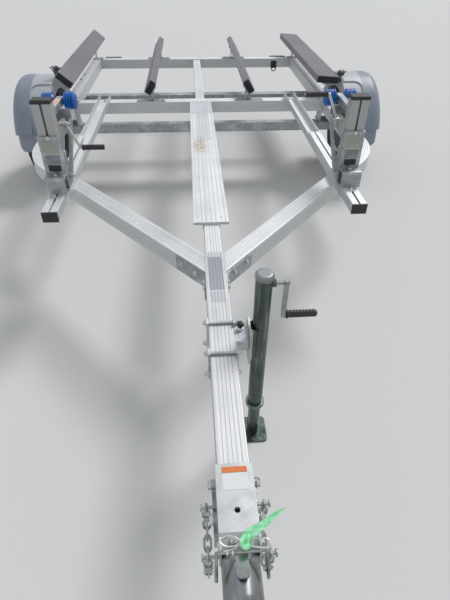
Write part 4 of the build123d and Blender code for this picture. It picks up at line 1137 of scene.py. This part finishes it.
tieDownLook = {"x": 0.725, "y": sta(4.392), "plate": (0.052, 0.062, 0.008, 4), "ring": 0.021, "wire": 0.0042}


def makeTieDown():
    # stern tie-down: a black folded plate and ring on the front of the rear crossbeam
    look = tieDownLook
    x, y = look["x"], look["y"]
    form = Form()
    form.aim((x, y, railZ - 0.012), ahead, (1, 0, 0)).slab(rounded(*look["plate"]), 0.005)
    for across in (-0.013, 0.013):
        form.aim((x + across, y - 0.005, railZ + 0.006), ahead)
        form.turned([(0.0085, 0.0), (0.0085, 0.005), (0.007, 0.0062)], 6)
    form.home()
    ring = []
    for step in range(24):
        away, drop = math.sin(math.tau * step / 24), math.cos(math.tau * step / 24)
        ring.append((x + look["ring"] * away, y - 0.013 - 0.004 * drop, railZ - 0.042 - look["ring"] * drop))
    form.tube(ring, look["wire"], 10, True)
    form.tube([(x + across, y - 0.01, railZ - 0.022) for across in (-0.018, 0.018)], 0.0075, 12)
    form.done("tie_down", "frame", "black_plastic")


lampBarLook = {
    "back": sta(4.5062), "bars": 5, "lowest": frameTop - 0.068, "pitch": 0.014, "bar": (0.706, 0.834),
    "screws": (0.703, 0.837), "screw": [(0.0034, -0.001), (0.0034, 0.0012), (0.0022, 0.002)],
}


def makeLampBars():
    # lens bars and the two lens screws of each tail lamp
    look = lampBarLook
    form = Form()
    for side, index in itertools.product(sides.values(), range(look["bars"])):
        z = look["lowest"] + index * look["pitch"]
        form.tube([(side * x, look["back"] - 0.0004, z) for x in look["bar"]], 0.0012, 8)
    form.done("lamp_bars", "frame", "lamp_red")
    form = Form()
    for side, x in itertools.product(sides.values(), look["screws"]):
        form.aim((side * x, look["back"], frameTop - 0.04), astern).turned(look["screw"], 16)
    form.done("lamp_screws", "frame", "zinc_plate", boltFinish)


beadLook = {"radius": 0.0024, "ripple": 0.0007, "uneven": 0.0003, "step": 0.0022}


def makeBeads():
    # weld beads: short ripples where plates meet tubes
    look = beadLook
    chance = random.Random("beads")
    bodies = {"frame": [], "jack": []}  # each bead's place and the heights of its two ends
    for side in (-1, 1):
        bodies["jack"].append((0.11, jackY + side * 0.0262, railZ - 0.066, railZ + 0.052))
        for x, y in itertools.product((0.8738 - 0.004, 0.95 + 0.004), (-0.036, 0.036)):
            bodies["frame"].append((side * x, sta(3.14) + y, 0.376, 0.333))
    for (x, _), way in itertools.product(stands.values(), (-1, 1)):
        bodies["frame"].append((x + way * 0.0155, sta(1.7208), frameTop + 0.322, frameTop + 0.348))
    for body, beads in bodies.items():
        form = Form()
        for x, y, first, last in beads:
            start, end = Vector((x, y, first)), Vector((x, y, last))
            steps = max(6, int((end - start).length / look["step"]))
            stops = range(steps + 1)
            widths = [look["radius"] + look["ripple"] * (step % 2) + chance.uniform(0, look["uneven"])
                      for step in stops]
            form.tube([start.lerp(end, step / steps) for step in stops], widths, 8)
        slot = "galvanised_steel" if body == "frame" else "jack_zinc"
        form.done("weld_beads_" + body, body, slot, angle=70)


makeFrameBolts()
makeBunkBolts()
makeWinchNuts()
makeWinchPawls()
print("fastenings made")
for name, side in sides.items():
    makeTyre(name, side)
    makeWheelParts(name, side)
print("tyres made")
for name, place in bunkTable.items():
    makeBunk(name, place)
makeTies()
print("bunks made")
for name, (x, inward) in stands.items():
    makeStrap(name, x, inward)
makeGrips()
makeLabels()
makeRibbon()
makeLatchWires()
makeJackKnob()
makeCaps()
makeTieDown()
makeLampBars()
makeBeads()
print("straps, grips, labels and trim made")


cameraPlace = {
    "x": -0.0647, "behindNose": -0.25, "aboveFrame": 0.958, "pitch": 39.84, "yaw": 4.34, "roll": -0.56,
    "focal": 449.65, "imageHeight": 600,
}


def makeCamera():
    look = cameraPlace
    pitch, yaw, roll = (math.radians(look[key]) for key in ("pitch", "yaw", "roll"))
    forward = Vector((math.sin(yaw) * math.cos(pitch), math.cos(yaw) * math.cos(pitch), -math.sin(pitch)))
    right = Vector((math.cos(yaw), -math.sin(yaw), 0))
    below = forward.cross(right)
    turnedRight = right * math.cos(roll) + below * math.sin(roll)
    turnedDown = below * math.cos(roll) - right * math.sin(roll)
    turned = Matrix((turnedRight, -turnedDown, -forward)).transposed().to_4x4()
    camera = bpy.data.objects.new("camera", bpy.data.cameras.new("camera"))
    at = (look["x"], sta(look["behindNose"]), frameTop + look["aboveFrame"])
    camera.matrix_world = Matrix.Translation(at) @ turned
    camera.data.sensor_width = 36.0
    camera.data.lens = 36.0 * look["focal"] / look["imageHeight"]
    camera.data.clip_end = 60
    bpy.context.scene.collection.objects.link(camera)
    bpy.context.scene.camera = camera


lampLook = {
    "sunStrength": 1.7, "sunAngle": 18.0, "sunTurn": (42, 0, 140), "sky": 0.5, "seen": 0.8,
    "floor": (0.7, 0.7, 0.69),
}


def makeLamps():
    look = lampLook
    sun = bpy.data.objects.new("sun", bpy.data.lights.new("sun", "SUN"))
    sun.data.energy = look["sunStrength"]
    sun.data.angle = math.radians(look["sunAngle"])
    sun.rotation_euler = [math.radians(turn) for turn in look["sunTurn"]]
    bpy.context.scene.collection.objects.link(sun)
    world = bpy.data.worlds.new("studio")
    bpy.context.scene.world = world
    world.use_nodes = True
    # the camera and the metals see a paler sky than the one that lights the trailer
    tree = world.node_tree
    lit, seen = tree.nodes["Background"], tree.nodes.new("ShaderNodeBackground")
    for background, strength in ((lit, look["sky"]), (seen, look["seen"])):
        background.inputs["Color"].default_value = (0.93, 0.96, 1.0, 1)
        background.inputs["Strength"].default_value = strength
    path, both = tree.nodes.new("ShaderNodeLightPath"), tree.nodes.new("ShaderNodeMath")
    both.operation = "MAXIMUM"
    tree.links.new(path.outputs["Is Camera Ray"], both.inputs[0])
    tree.links.new(path.outputs["Is Glossy Ray"], both.inputs[1])
    blend = tree.nodes.new("ShaderNodeMixShader")
    tree.links.new(both.outputs[0], blend.inputs[0])
    tree.links.new(lit.outputs[0], blend.inputs[1])
    tree.links.new(seen.outputs[0], blend.inputs[2])
    tree.links.new(blend.outputs[0], tree.nodes["World Output"].inputs["Surface"])


def makeFloor():
    bpy.ops.mesh.primitive_plane_add(size=60, location=(0, 0, 0))
    floor = bpy.context.object
    floor.name = "floor"
    shade = Shade("floor", Roughness=0.9)
    shade.put("Base Color", lampLook["floor"])
    floor.data.materials.append(shade.material)


makeCamera()
makeLamps()
makeFloor()
bpy.context.scene.view_settings.view_transform = "Standard"
print("camera, lamps and floor set")
